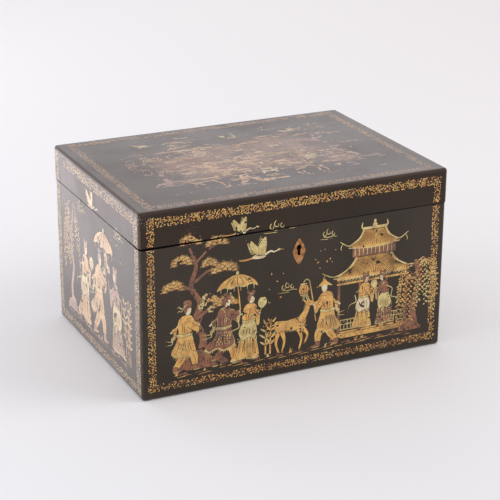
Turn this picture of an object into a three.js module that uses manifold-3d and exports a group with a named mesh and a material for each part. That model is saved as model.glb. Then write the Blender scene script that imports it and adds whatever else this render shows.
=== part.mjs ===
// Lacquer tea caddy: a dovetailed wooden box with a hinged lid, a box lock and two pewter tea canisters.
// Millimetres, +Z up, front towards -Y. The origin is the middle of the underside.

import * as THREE from 'three';
import { mergeVertices } from 'three/addons/utils/BufferGeometryUtils.js';
import Module from 'manifold-3d';

const wasm = await Module();
wasm.setup();

// Outer box. The lid stands a little proud of the body all round.
const WIDTH = 300;
const DEPTH = 216;
const HEIGHT = 173;
const LID_HEIGHT = 32.5;
const LID_OVERHANG = 0.5;
const SEAM_GAP = 0.2;
const CORNER_RADIUS = 4.5;
const TOP_EDGE_RADIUS = 3;
const BOTTOM_EDGE_RADIUS = 4;

// Boards
const WALL = 12;
const BASE_THICKNESS = 8;
const BASE_REBATE = 5;
const LID_TOP_THICKNESS = 8;
const LINING = 4;
const LIP_HEIGHT = 2.5;
const LIP_CLEARANCE = 0.5;
const PARTITION = 6;
const PARTITION_DROP = 14;
const PARTITION_HOUSING = 1.5;
const HOUSING_CLEARANCE = 0.3;

// Lapped dovetails at the corners: the tails end behind a lap of the front and back boards.
const LAP = 4;
const TAIL_PITCH = 26;
const PIN_ROOT = 8;
const TAIL_SLOPE = 1 / 7;
const GLUE_GAP = 0.3;

// Butt hinges. The back rims are bevelled from the hinge line, and the bevels meet as the lid's stop.
const HINGE_INSET = 62;
const HINGE_LENGTH = 34;
const AXIS_INSET = 3.2;
const LEAF_THICKNESS = 1.4;
const LEAF_MARGIN = 1;
const BARREL_RADIUS = 2.6;
const PIN_RADIUS = 1.1;
const PIN_CLEARANCE = 0.3;
const KNUCKLES = 5;
const KNUCKLE_GAP = 0.3;
const HINGE_SCREW_INSET = 6;
const HINGE_SCREW_LENGTH = 9;
const LID_OPENING = 95;
const STOP_SLACK = 2;
const MORTISE_CLEARANCE = 0.3;

// Countersunk wood screws
const SCREW_HEAD_RADIUS = 1.9;
const SCREW_SHANK_RADIUS = 1;
const SCREW_POINT = 2;
const SCREW_CLEARANCE = 0.3;

// Box lock, measured from the body's rim and from the inner face of the front board
const LOCK_OFFSET = 0;
const LOCK_PLATE_THICKNESS = 1.5;
const LOCK_CASE_WALL = 1.2;
const LOCK_PLATE_MARGIN = 8;
const LOCK_PLATE_FOOT = 3;
const LOCK_POCKET_CLEARANCE = 0.3;
const LOCK_SCREW_DROP = 8;
const LOCK_SCREW_LENGTH = 7;
const LOCK_CLEARANCE = 0.6;
const STAPLE_SPACING = 18;
const STAPLE_THICKNESS = 2;
const STAPLE_WIDTH = 4.4;
const STAPLE_LEG = 1;
const STAPLE_DROP = 10;
const STAPLE_CLEARANCE = 0.3;
const EYE_DROP = 3;
const EYE_FOOT = 1.5;
const BOLT_TRAVEL = 5;
const BOLT_THICKNESS = 1.6;
const BOLT_BAR_HEIGHT = 5;
const BOLT_LUG = 3;
const BOLT_CLEARANCE = 0.9;
const FINGER_HEIGHT = 2.6;
const TALON_WIDTH = 7;
const TALON_DEPTH = 3;
const STUD_RADIUS = 1.2;
const STUD_CLEARANCE = 0.3;
const STUD_MARGIN = 2;
const KEY_BIT_RADIUS = 7.2;
const DRILL_PIN_RADIUS = 0.9;
const DRILL_PIN_END = 0.5;
const SPRING_THICKNESS = 0.8;
const SPRING_WIDTH = 3;
const SPRING_SEAT = 0.3;

// Keyhole and its lozenge escutcheon, let into the front board
const KEYHOLE_RADIUS = 2.6;
const KEYHOLE_SLOT = 2.7;
const KEYHOLE_CLEARANCE = 0.3;
const ESCUTCHEON_WIDTH = 13;
const ESCUTCHEON_HEIGHT = 25;
const ESCUTCHEON_BULGE = 1.4;
const ESCUTCHEON_THICKNESS = 1.2;
const ESCUTCHEON_PROUD = 0.3;
const ESCUTCHEON_DROP = 3.8;
const INLAY_CLEARANCE = 0.3;

// Link plate under the lid, which carries the two staples
const LINK_PLATE_LENGTH = 40;
const LINK_PLATE_MARGIN = 1.2;
const LINK_PLATE_THICKNESS = 1.5;
const LINK_SCREW_SPACING = 31;
const LINK_SCREW_LENGTH = 9;

// Tea canisters
const HEADROOM = 17;
const CANISTER_CLEARANCE = 1.5;
const CANISTER_WALL = 1.4;
const CANISTER_CANT = 12;
const SHOULDER_EDGE = 5;
const NECK_RADIUS = 31;
const NECK_HEIGHT = 9;
const NECK_WALL = 1.4;
const CAP_HEIGHT = 20;
const CAP_WALL = 1.4;
const CAP_DOME = 2.5;
const CAP_EDGE = 1.5;
const CAP_CLEARANCE = 0.3;
const STOPPER_DEPTH = 3;
const STOPPER_WALL = 1.2;
const STOPPER_FLANGE_MARGIN = 0.4;
const STOPPER_KNOB_RADIUS = 4;
const STOPPER_KNOB_HEIGHT = 4;
const STOPPER_KNOB_EDGE = 1;

// Finials, as radii, heights above the foot and drops from the top
const FINIAL_HEIGHT = 10;
const FINIAL_FOOT = 4;
const FINIAL_WAIST = 2.4;
const FINIAL_WAIST_HEIGHT = 2.5;
const FINIAL_RADIUS = 5;
const FINIAL_BELLY_DROP = 4.5;
const FINIAL_CROWN = 4;
const FINIAL_CROWN_DROP = 1.5;
const FINIAL_TIP = 1.5;
const FINIAL_TENON_RADIUS = 1.5;

// Steps round a rounded edge and a corner, half the sides of a small round, and the sides of a neck or cap
const EDGE_STEPS = 4;
const CORNER_STEPS = 4;
const ROUND_STEPS = 6;
const NECK_SIDES = 32;
const WELD = 1e-4;
const ORIGIN = [0, 0, 0];

// Places that follow from the sizes above
const bodyWidth = WIDTH - 2 * LID_OVERHANG;
const bodyDepth = DEPTH - 2 * LID_OVERHANG;
const innerWidth = bodyWidth - 2 * WALL;
const innerDepth = bodyDepth - 2 * WALL;
const lidFloor = HEIGHT - LID_HEIGHT;
const lidCeiling = HEIGHT - LID_TOP_THICKNESS;
const lidWall = WALL + LID_OVERHANG - LIP_CLEARANCE;
const rim = lidFloor - SEAM_GAP;
const wellWidth = (innerWidth - 2 * LINING - PARTITION) / 2;
const wellDepth = innerDepth - 2 * LINING;
const wellX = (PARTITION + wellWidth) / 2;

// Helpers that make closed solids

// Joins shared corners, drops the triangles that have shrunk to a line, and makes a solid of the rest
function solid(geometry) {
  const bare = geometry.clone();
  bare.deleteAttribute('normal');
  bare.deleteAttribute('uv');
  const welded = mergeVertices(bare, WELD);
  const index = welded.index.array;
  const faces = [];
  for (let i = 0; i < index.length; i += 3) {
    const [a, b, c] = [index[i], index[i + 1], index[i + 2]];
    if (a !== b && b !== c && c !== a) faces.push(a, b, c);
  }
  const vertProperties = new Float32Array(welded.attributes.position.array);
  const mesh = new wasm.Mesh({ numProp: 3, vertProperties, triVerts: new Uint32Array(faces) });
  return new wasm.Manifold(mesh);
}

function cut(base, ...tools) {
  return tools.reduce((body, tool) => body.subtract(tool), base);
}

function join(first, ...others) {
  return others.reduce((body, other) => body.add(other), first);
}

// A block between two values on each axis
function block([x0, x1], [y0, y1], [z0, z1], at = ORIGIN) {
  const geometry = new THREE.BoxGeometry(x1 - x0, y1 - y0, z1 - z0);
  geometry.translate((x0 + x1) / 2, (y0 + y1) / 2, (z0 + z1) / 2);
  geometry.translate(...at);
  return solid(geometry);
}

const alongX = new THREE.Matrix4().makeBasis(
  new THREE.Vector3(0, 1, 0),
  new THREE.Vector3(0, 0, 1),
  new THREE.Vector3(1, 0, 0),
);

// An outline pushed along an axis: drawn in y and z for 'x', in x and z for 'y', and in x and y for 'z'
function prism(outline, axis, [from, to], { steps = ROUND_STEPS, at = ORIGIN } = {}) {
  const options = { depth: to - from, bevelEnabled: false, curveSegments: steps };
  const geometry = new THREE.ExtrudeGeometry(outline, options);
  geometry.translate(0, 0, axis === 'y' ? -to : from);
  if (axis === 'x') geometry.applyMatrix4(alongX);
  if (axis === 'y') geometry.rotateX(Math.PI / 2);
  geometry.translate(...at);
  return solid(geometry);
}

// An upright prism with rounded or bevelled edges at both ends
function easedPrism(outline, [from, to], ease, easeSteps) {
  const geometry = new THREE.ExtrudeGeometry(outline, {
    depth: to - from - 2 * ease,
    bevelThickness: ease,
    bevelSize: ease,
    bevelOffset: -ease,
    bevelSegments: easeSteps,
    curveSegments: CORNER_STEPS,
  });
  geometry.translate(0, 0, from + ease);
  return solid(geometry);
}

// A profile of radii and heights, turned about its height, which points along 'towards'
const turns = { '+z': Math.PI / 2, '-z': -Math.PI / 2, '+y': 0, '-y': Math.PI };

function turned(profile, { sides = 2 * ROUND_STEPS, towards = '+z', at = ORIGIN } = {}) {
  const points = profile.map(([radius, height]) => new THREE.Vector2(radius, height));
  const geometry = new THREE.LatheGeometry(points, sides);
  geometry.rotateX(turns[towards]);
  geometry.translate(...at);
  return solid(geometry);
}

function polygon(points) {
  return new THREE.Shape(points.map(([u, v]) => new THREE.Vector2(u, v)));
}

function circle(u, v, radius) {
  const shape = new THREE.Shape();
  shape.absarc(u, v, radius, 0, 2 * Math.PI, false);
  return shape;
}

function roundedRectangle(width, depth, radius) {
  const shape = new THREE.Shape();
  const x = width / 2 - radius;
  const y = depth / 2 - radius;
  const quarter = Math.PI / 2;
  shape.absarc(x, y, radius, 0, quarter, false);
  shape.absarc(-x, y, radius, quarter, 2 * quarter, false);
  shape.absarc(-x, -y, radius, 2 * quarter, 3 * quarter, false);
  shape.absarc(x, -y, radius, 3 * quarter, 4 * quarter, false);
  shape.closePath();
  return shape;
}

// A range either side of a middle
function span(middle, half) {
  return [middle - half, middle + half];
}

// Materials
const finish = (color, roughness, metalness) => new THREE.MeshStandardMaterial({ color, roughness, metalness });
const lacquer = finish(0x3a3230, 0.35, 0);
const innerLacquer = finish(0x35201a, 0.5, 0);
const brass = finish(0xa98350, 0.45, 0.9);
const steel = finish(0x6d675f, 0.5, 0.9);
const pewter = finish(0x8b8a86, 0.45, 0.85);
const bone = finish(0xe2d5b8, 0.5, 0);

function part(name, body, material, parent) {
  const { vertProperties, triVerts } = body.getMesh();
  const geometry = new THREE.BufferGeometry();
  geometry.setAttribute('position', new THREE.BufferAttribute(new Float32Array(vertProperties), 3));
  geometry.setIndex(new THREE.BufferAttribute(new Uint32Array(triVerts), 1));
  geometry.computeVertexNormals();
  const mesh = new THREE.Mesh(geometry, material);
  mesh.name = name;
  parent.add(mesh);
  return mesh;
}

function group(parent, x, y, z) {
  const nested = new THREE.Group();
  nested.position.set(x, y, z);
  parent.add(nested);
  return nested;
}

// Countersunk screws. The head's face is at height 0 and the point at minus the length.

function screw(length, towards) {
  const neck = SCREW_HEAD_RADIUS - SCREW_SHANK_RADIUS;
  const point = length - SCREW_POINT;
  const shank = [[0, -length], [SCREW_SHANK_RADIUS, -point], [SCREW_SHANK_RADIUS, -neck]];
  return turned([...shank, [SCREW_HEAD_RADIUS, 0], [0, 0]], { towards });
}

function screwHole(length, towards, at) {
  const head = SCREW_HEAD_RADIUS + SCREW_CLEARANCE;
  const shank = SCREW_SHANK_RADIUS + SCREW_CLEARANCE;
  const foot = length + SCREW_CLEARANCE;
  const bore = [[0, -foot], [shank, -foot], [shank, shank - head]];
  return turned([...bore, [head, 0], [head, head], [0, head]], { towards, at });
}

// Corner joints

// One tail in y and z, wider at its tip than at its root
function tail(shoulder, tip, centre, pitch, gap) {
  const root = (pitch - PIN_ROOT) / 2 + gap;
  const end = root + (tip + gap - shoulder) * TAIL_SLOPE;
  return [
    [shoulder, centre - root],
    [tip + gap, centre - end],
    [tip + gap, centre + end],
    [shoulder, centre + root],
  ];
}

function tailRow(depth, wall, [low, high], gap) {
  const count = Math.max(1, Math.round((high - low) / TAIL_PITCH));
  const pitch = (high - low) / count;
  const centres = Array.from({ length: count }, (_, i) => low + (i + 0.5) * pitch);
  return centres.map((centre) => tail(depth / 2 - wall, depth / 2 - LAP, centre, pitch, gap));
}

// Four boards of a frame. The side boards have tails, and the front and back boards have their sockets.
function dovetailedFrame(width, depth, wall, [low, high], jointLow) {
  const shoulder = depth / 2 - wall;
  const innerFace = width / 2 - wall;
  const rightTails = tailRow(depth, wall, [jointLow, high], 0).flat();
  const leftTails = rightTails.toReversed().map(([y, z]) => [-y, z]);
  const floor = [[-shoulder, low], [shoulder, low]];
  const ceiling = [[shoulder, high], [-shoulder, high]];
  const sideBoard = polygon([...floor, ...rightTails, ...ceiling, ...leftTails]);
  const sockets = tailRow(depth, wall, [jointLow, high], GLUE_GAP).flatMap((points) =>
    [-1, 1].flatMap((side) => {
      const mouth = polygon(points.map(([y, z]) => [side * y, z]));
      return [prism(mouth, 'x', [innerFace, width]), prism(mouth, 'x', [-width, -innerFace])];
    }),
  );
  const across = [-width / 2, width / 2];
  return {
    front: cut(block(across, [-depth / 2, -shoulder], [low, high]), ...sockets),
    back: cut(block(across, [shoulder, depth / 2], [low, high]), ...sockets),
    left: prism(sideBoard, 'x', [-width / 2, -innerFace]),
    right: prism(sideBoard, 'x', [innerFace, width / 2]),
  };
}

// Hinges. A leaf is drawn about its pin, which lies along x; side -1 is the body's leaf and side 1 the lid's.

const axisY = DEPTH / 2 - AXIS_INSET;
const axisZ = rim + SEAM_GAP / 2;
const hingeX = WIDTH / 2 - HINGE_INSET;
const barrelSpace = BARREL_RADIUS + MORTISE_CLEARANCE;
const pinBore = PIN_RADIUS + PIN_CLEARANCE;
const leafReach = axisY - innerDepth / 2 - LEAF_MARGIN;
const leafScrewY = -(barrelSpace + leafReach) / 2;
const leafScrewX = [HINGE_SCREW_INSET - HINGE_LENGTH / 2, HINGE_LENGTH / 2 - HINGE_SCREW_INSET];
const screwTurn = { '-1': '+z', 1: '-z' };

function leafPlate(side, xs, near) {
  const face = (side * SEAM_GAP) / 2;
  const levels = [face, face + side * LEAF_THICKNESS].sort((a, b) => a - b);
  return block(xs, [-leafReach, -near], levels);
}

function hingeLeaf(side) {
  const half = HINGE_LENGTH / 2;
  const pitch = HINGE_LENGTH / KNUCKLES;
  const webStart = (pinBore + BARREL_RADIUS) / 2;
  const first = side > 0 ? 1 : 0;
  let leaf = leafPlate(side, [-half, half], barrelSpace);
  for (let i = first; i < KNUCKLES; i += 2) {
    const from = -half + i * pitch + (i > 0 ? KNUCKLE_GAP / 2 : 0);
    const to = -half + (i + 1) * pitch - (i < KNUCKLES - 1 ? KNUCKLE_GAP / 2 : 0);
    const knuckle = prism(circle(0, 0, BARREL_RADIUS), 'x', [from, to]);
    leaf = join(leaf, knuckle, leafPlate(side, [from, to], webStart));
  }
  const bore = prism(circle(0, 0, pinBore), 'x', [-HINGE_LENGTH, HINGE_LENGTH]);
  const holes = leafScrewX.map((x) =>
    screwHole(HINGE_SCREW_LENGTH, screwTurn[side], [x, leafScrewY, (side * SEAM_GAP) / 2]),
  );
  return cut(leaf, bore, ...holes);
}

// The space that a hinge takes in both rims, with the holes for its screws
function hingeMortise(x) {
  const length = span(x, HINGE_LENGTH / 2 + MORTISE_CLEARANCE);
  const depth = [axisY - leafReach - MORTISE_CLEARANCE, axisY];
  const recess = block(length, depth, span(axisZ, SEAM_GAP / 2 + LEAF_THICKNESS));
  const holes = [-1, 1].flatMap((side) =>
    leafScrewX.map((offset) => {
      const head = [x + offset, axisY + leafScrewY, axisZ + (side * SEAM_GAP) / 2];
      return screwHole(HINGE_SCREW_LENGTH, screwTurn[side], head);
    }),
  );
  return join(recess, prism(circle(axisY, axisZ, barrelSpace), 'x', length), ...holes);
}

// The wedge of air between the bevels of the two back rims
function stopWedge() {
  const bevel = THREE.MathUtils.degToRad((LID_OPENING + STOP_SLACK) / 2);
  const reach = 2 * AXIS_INSET;
  const rise = reach * Math.tan(bevel);
  const wedge = polygon([[axisY, axisZ], [axisY + reach, axisZ - rise], [axisY + reach, axisZ + rise]]);
  return prism(wedge, 'x', [-WIDTH, WIDTH]);
}

function addHinge(parent, name, x) {
  const hinge = group(parent, x, axisY, axisZ);
  part(`${name}_hinge_body_leaf`, hingeLeaf(-1), brass, hinge);
  part(`${name}_hinge_lid_leaf`, hingeLeaf(1), brass, hinge);
  const pin = prism(circle(0, 0, PIN_RADIUS), 'x', [-HINGE_LENGTH / 2, HINGE_LENGTH / 2]);
  part(`${name}_hinge_pin`, pin, steel, hinge);
  for (const [side, owner] of [[-1, 'body'], [1, 'lid']]) {
    leafScrewX.forEach((offset, i) => {
      const fastener = screw(HINGE_SCREW_LENGTH, screwTurn[side]);
      const mesh = part(`${name}_hinge_${owner}_screw_${i + 1}`, fastener, steel, hinge);
      mesh.position.set(offset, leafScrewY, (side * SEAM_GAP) / 2);
    });
  }
}

// Lock. Its frame has x = 0 at the keyhole, y = 0 on the board's inner face and z = 0 at the rim.

const lockAt = [LOCK_OFFSET, -innerDepth / 2, rim];
const stapleX = [-STAPLE_SPACING / 2, STAPLE_SPACING / 2];
const stapleY = -(LOCK_PLATE_THICKNESS + LOCK_CLEARANCE + STAPLE_WIDTH / 2);
const caseInner = -(LOCK_PLATE_THICKNESS + 2 * LOCK_CLEARANCE + STAPLE_WIDTH);
const caseFront = caseInner - LOCK_CASE_WALL;
const eyeFoot = -(STAPLE_DROP - EYE_FOOT);
const barTop = -(STAPLE_DROP + BOLT_CLEARANCE);
const barFoot = barTop - BOLT_BAR_HEIGHT;
const pinZ = barFoot + TALON_DEPTH - KEY_BIT_RADIUS;
const caseFloor = pinZ - KEY_BIT_RADIUS - BOLT_CLEARANCE;
const caseFoot = caseFloor - LOCK_CASE_WALL;
const plateFoot = caseFoot - LOCK_PLATE_FOOT;
const fingerTip = stapleX.map((x) => x - STAPLE_THICKNESS / 2 - BOLT_CLEARANCE);
const barLeft = fingerTip[0] - BOLT_TRAVEL - BOLT_LUG;
const talonX = span(-BOLT_TRAVEL / 2, TALON_WIDTH / 2);
const studSlot = STUD_RADIUS + STUD_CLEARANCE;
const slotLeft = talonX[1] + STUD_MARGIN;
const studX = slotLeft + BOLT_TRAVEL + studSlot;
const studZ = (barTop + barFoot) / 2;
const barRight = studX + studSlot + STUD_MARGIN;
const caseHalf = Math.max(-barLeft, barRight + BOLT_TRAVEL) + BOLT_CLEARANCE;
const caseSide = caseHalf + LOCK_CASE_WALL;
const plateHalf = caseSide + LOCK_PLATE_MARGIN;
const lockScrewX = caseSide + LOCK_PLATE_MARGIN / 2;
const lockScrewZ = [-LOCK_SCREW_DROP, plateFoot + LOCK_SCREW_DROP];
const lockScrewPlaces = [-lockScrewX, lockScrewX].flatMap((x) => lockScrewZ.map((z) => [x, 0, z]));

function shifted(place, at) {
  return place.map((value, i) => value + at[i]);
}

function keyhole(gap) {
  const radius = KEYHOLE_RADIUS + gap;
  const half = KEYHOLE_SLOT / 2 + gap;
  const foot = pinZ - KEY_BIT_RADIUS - gap;
  const turn = Math.asin(half / radius);
  const shape = new THREE.Shape();
  shape.moveTo(-half, foot);
  shape.lineTo(half, foot);
  shape.absarc(0, pinZ, radius, turn - Math.PI / 2, (3 * Math.PI) / 2 - turn, false);
  shape.closePath();
  return shape;
}

// A bent plate: one face lies on the board and the other, with slots for the staples, in the rim
function lockPlate() {
  const face = block([-plateHalf, plateHalf], [-LOCK_PLATE_THICKNESS, 0], [plateFoot, 0]);
  const selvage = block([-plateHalf, plateHalf], [caseFront, 0], [-LOCK_PLATE_THICKNESS, 0]);
  const slots = stapleX.map((x) => {
    const width = span(x, STAPLE_THICKNESS / 2 + LOCK_CLEARANCE);
    return block(width, span(stapleY, STAPLE_WIDTH / 2 + LOCK_CLEARANCE), span(0, 2 * LOCK_PLATE_THICKNESS));
  });
  const holes = lockScrewPlaces.map((place) => screwHole(LOCK_SCREW_LENGTH, '+y', place));
  return cut(join(face, selvage), ...slots, ...holes);
}

function lockCase() {
  const outer = block([-caseSide, caseSide], [caseFront, -LOCK_PLATE_THICKNESS], [caseFoot, -LOCK_PLATE_THICKNESS]);
  const inner = block([-caseHalf, caseHalf], [caseInner, 0], [caseFloor, 0]);
  return cut(outer, inner, prism(keyhole(KEYHOLE_CLEARANCE), 'y', [2 * caseFront, 0]));
}

// A bar with a notch for the key below, and two lugs above whose fingers slide into the staples
function lockBolt() {
  const fingerMiddle = (eyeFoot - EYE_DROP) / 2;
  const [fingerFoot, fingerTop] = span(fingerMiddle, FINGER_HEIGHT / 2);
  const lug = (tip) => {
    const root = tip - BOLT_TRAVEL;
    const finger = [[root, barTop], [root, fingerFoot], [tip, fingerFoot], [tip, fingerTop]];
    return [...finger, [root - BOLT_LUG, fingerTop], [root - BOLT_LUG, barTop]];
  };
  const notchTop = barFoot + TALON_DEPTH;
  const foot = [
    [barLeft, barFoot],
    [talonX[0], barFoot],
    [talonX[0], notchTop],
    [talonX[1], notchTop],
    [talonX[1], barFoot],
    [barRight, barFoot],
  ];
  const leftLug = lug(fingerTip[0]).slice(0, -1);
  const outline = polygon([...foot, [barRight, barTop], ...lug(fingerTip[1]), ...leftLug]);
  const slot = new THREE.Path();
  slot.absarc(studX, studZ, studSlot, -Math.PI / 2, Math.PI / 2, false);
  slot.absarc(studX - BOLT_TRAVEL, studZ, studSlot, Math.PI / 2, (3 * Math.PI) / 2, false);
  slot.closePath();
  outline.holes.push(slot);
  return prism(outline, 'y', span(stapleY, BOLT_THICKNESS / 2));
}

// A half ring of strip between the case's floor and the bolt
function boltSpring() {
  const radius = (barFoot - caseFloor) / 2 - SPRING_SEAT;
  const x = radius + BOLT_CLEARANCE / 2 - caseHalf;
  const z = (barFoot + caseFloor) / 2;
  const strip = new THREE.Shape();
  strip.absarc(x, z, radius, Math.PI / 2, (3 * Math.PI) / 2, false);
  strip.absarc(x, z, radius - SPRING_THICKNESS, (3 * Math.PI) / 2, Math.PI / 2, true);
  strip.closePath();
  return prism(strip, 'y', span(stapleY, SPRING_WIDTH / 2));
}

function lockPocket(at) {
  const gap = LOCK_POCKET_CLEARANCE;
  const above = LOCK_PLATE_THICKNESS;
  const box = block(span(0, caseSide + gap), [caseFront - gap, 0], [caseFoot - gap, above], at);
  const face = block(span(0, plateHalf), [-LOCK_PLATE_THICKNESS, 0], [plateFoot, above], at);
  const selvage = block(span(0, plateHalf), [caseFront, 0], [-LOCK_PLATE_THICKNESS, above], at);
  const passage = prism(keyhole(KEYHOLE_CLEARANCE), 'y', [-2 * WALL, 0], { at });
  const holes = lockScrewPlaces.map((place) => screwHole(LOCK_SCREW_LENGTH, '+y', shifted(place, at)));
  return join(box, face, selvage, passage, ...holes);
}

function addLock(parent) {
  const lock = group(parent, ...lockAt);
  part('lock_plate', lockPlate(), brass, lock);
  part('lock_case', lockCase(), brass, lock);
  part('lock_bolt', lockBolt(), brass, lock);
  part('lock_spring', boltSpring(), steel, lock);
  const studLength = [stapleY - BOLT_THICKNESS, -LOCK_PLATE_THICKNESS];
  part('lock_stud', prism(circle(studX, studZ, STUD_RADIUS), 'y', studLength), steel, lock);
  const pinLength = [caseFront - DRILL_PIN_END, -LOCK_PLATE_THICKNESS];
  part('lock_drill_pin', prism(circle(0, pinZ, DRILL_PIN_RADIUS), 'y', pinLength), steel, lock);
  lockScrewPlaces.forEach((place, i) => {
    const mesh = part(`lock_screw_${i + 1}`, screw(LOCK_SCREW_LENGTH, '+y'), steel, lock);
    mesh.position.set(...place);
  });
}

// Escutcheon

// A lozenge with gently bowed sides, in x and z about its own middle
function lozenge(gap) {
  const half = ESCUTCHEON_WIDTH / 2 + gap;
  const tall = ESCUTCHEON_HEIGHT / 2 + (gap * ESCUTCHEON_HEIGHT) / ESCUTCHEON_WIDTH;
  const middle = pinZ - ESCUTCHEON_DROP;
  const shape = new THREE.Shape();
  const corners = [[half, 0], [0, tall], [-half, 0], [0, -tall]];
  shape.moveTo(half, middle);
  corners.forEach(([u, v], i) => {
    const [nextU, nextV] = corners[(i + 1) % corners.length];
    const bowU = (u + nextU) / 2 + ESCUTCHEON_BULGE * Math.sign(u + nextU);
    const bowV = (v + nextV) / 2 + ESCUTCHEON_BULGE * Math.sign(v + nextV);
    shape.quadraticCurveTo(bowU, middle + bowV, nextU, middle + nextV);
  });
  return shape;
}

const escutcheonFace = -bodyDepth / 2 - ESCUTCHEON_PROUD;
const escutcheonBack = escutcheonFace + ESCUTCHEON_THICKNESS;

function escutcheonRecess() {
  const at = [LOCK_OFFSET, 0, rim];
  return prism(lozenge(INLAY_CLEARANCE), 'y', [-bodyDepth, escutcheonBack], { at });
}

function addEscutcheon(parent) {
  const place = group(parent, LOCK_OFFSET, escutcheonFace, rim);
  const plate = prism(lozenge(0), 'y', [0, ESCUTCHEON_THICKNESS]);
  const hole = prism(keyhole(0), 'y', span(0, 2 * ESCUTCHEON_THICKNESS));
  part('escutcheon', cut(plate, hole), brass, place);
}

// Link plate, in the lock's frame, let into the underside of the lid

const linkLevels = [SEAM_GAP, SEAM_GAP + LINK_PLATE_THICKNESS];
const linkScrews = [-1, 1].map((side) => [(side * LINK_SCREW_SPACING) / 2, stapleY, SEAM_GAP]);

function linkPlateBlock(at) {
  const width = span(stapleY, STAPLE_WIDTH / 2 + LINK_PLATE_MARGIN);
  return block(span(0, LINK_PLATE_LENGTH / 2), width, linkLevels, at);
}

function linkRecess(at) {
  const holes = linkScrews.map((place) => screwHole(LINK_SCREW_LENGTH, '-z', shifted(place, at)));
  return join(linkPlateBlock(at), ...holes);
}

function stapleBlock(x, grow) {
  const thickness = span(x, STAPLE_THICKNESS / 2 + grow);
  return block(thickness, span(stapleY, STAPLE_WIDTH / 2 + grow), [-STAPLE_DROP, linkLevels[1]]);
}

function addLinkPlate(parent) {
  const link = group(parent, ...lockAt);
  const slots = stapleX.map((x) => stapleBlock(x, STAPLE_CLEARANCE));
  const holes = linkScrews.map((place) => screwHole(LINK_SCREW_LENGTH, '-z', place));
  part('link_plate', cut(linkPlateBlock(ORIGIN), ...slots, ...holes), brass, link);
  stapleX.forEach((x, i) => {
    const eye = block(span(x, STAPLE_THICKNESS), span(stapleY, STAPLE_WIDTH / 2 - STAPLE_LEG), [eyeFoot, -EYE_DROP]);
    part(`link_staple_${i + 1}`, cut(stapleBlock(x, 0), eye), brass, link);
  });
  linkScrews.forEach((place, i) => {
    part(`link_screw_${i + 1}`, screw(LINK_SCREW_LENGTH, '-z'), steel, link).position.set(...place);
  });
}

// Body of the box

const hingeMortises = [-hingeX, hingeX].map(hingeMortise);
const wedge = stopWedge();

function addBodyBoards(parent) {
  const outline = roundedRectangle(bodyWidth, bodyDepth, CORNER_RADIUS);
  const envelope = easedPrism(outline, [0, HEIGHT], BOTTOM_EDGE_RADIUS, EDGE_STEPS);
  const frame = dovetailedFrame(bodyWidth, bodyDepth, WALL, [0, rim], BASE_THICKNESS);
  const baseX = span(0, innerWidth / 2 + BASE_REBATE);
  const baseY = span(0, innerDepth / 2 + BASE_REBATE);
  const rebate = block(baseX, baseY, [-BASE_THICKNESS, BASE_THICKNESS]);
  const shape = (board, ...tools) => cut(board.intersect(envelope), rebate, ...tools);
  part('front_board', shape(frame.front, lockPocket(lockAt), escutcheonRecess()), lacquer, parent);
  part('back_board', shape(frame.back, wedge, ...hingeMortises), lacquer, parent);
  part('left_board', shape(frame.left, wedge), lacquer, parent);
  part('right_board', shape(frame.right, wedge), lacquer, parent);
  part('base_board', block(baseX, baseY, [0, BASE_THICKNESS]), lacquer, parent);
}

// Thin boards inside the walls. They rise above the rim as a lip that the lid closes over.
function addLinings(parent) {
  const levels = [BASE_THICKNESS, rim + LIP_HEIGHT];
  const partitionTop = rim - PARTITION_DROP;
  const grooveHalf = (PARTITION + HOUSING_CLEARANCE) / 2;
  const grooveEnd = wellDepth / 2 + PARTITION_HOUSING;
  const grooves = block([-grooveHalf, grooveHalf], [-grooveEnd, grooveEnd], [0, partitionTop]);
  const long = [-innerWidth / 2, innerWidth / 2];
  const short = [-wellDepth / 2, wellDepth / 2];
  const front = block(long, [-innerDepth / 2, -wellDepth / 2], levels);
  const back = block(long, [wellDepth / 2, innerDepth / 2], levels);
  part('front_lining', cut(front, grooves), innerLacquer, parent);
  part('back_lining', cut(back, grooves), innerLacquer, parent);
  const sideIn = innerWidth / 2 - LINING;
  part('left_lining', block([-innerWidth / 2, -sideIn], short, levels), innerLacquer, parent);
  part('right_lining', block([sideIn, innerWidth / 2], short, levels), innerLacquer, parent);
  const partitionEnd = grooveEnd - HOUSING_CLEARANCE;
  const partition = block([-PARTITION / 2, PARTITION / 2], [-partitionEnd, partitionEnd], [BASE_THICKNESS, partitionTop]);
  part('partition', partition, innerLacquer, parent);
}

// Lid

function addLidBoards(parent) {
  const outline = roundedRectangle(WIDTH, DEPTH, CORNER_RADIUS);
  const envelope = easedPrism(outline, [0, HEIGHT], TOP_EDGE_RADIUS, EDGE_STEPS);
  const frame = dovetailedFrame(WIDTH, DEPTH, lidWall, [lidFloor, lidCeiling], lidFloor);
  const shape = (board, ...tools) => cut(board.intersect(envelope), ...tools);
  part('lid_front_rail', shape(frame.front, linkRecess(lockAt)), lacquer, parent);
  part('lid_back_rail', shape(frame.back, wedge, ...hingeMortises), lacquer, parent);
  part('lid_left_rail', shape(frame.left, wedge), lacquer, parent);
  part('lid_right_rail', shape(frame.right, wedge), lacquer, parent);
  const top = block(span(0, WIDTH / 2), span(0, DEPTH / 2), [lidCeiling, HEIGHT]);
  part('lid_top', shape(top), lacquer, parent);
}

// Canisters, drawn upwards from their floor

const canisterHeight = lidCeiling - HEADROOM - FINIAL_HEIGHT - CAP_HEIGHT - BASE_THICKNESS;
const cantShrink = 2 - Math.SQRT2;

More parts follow.
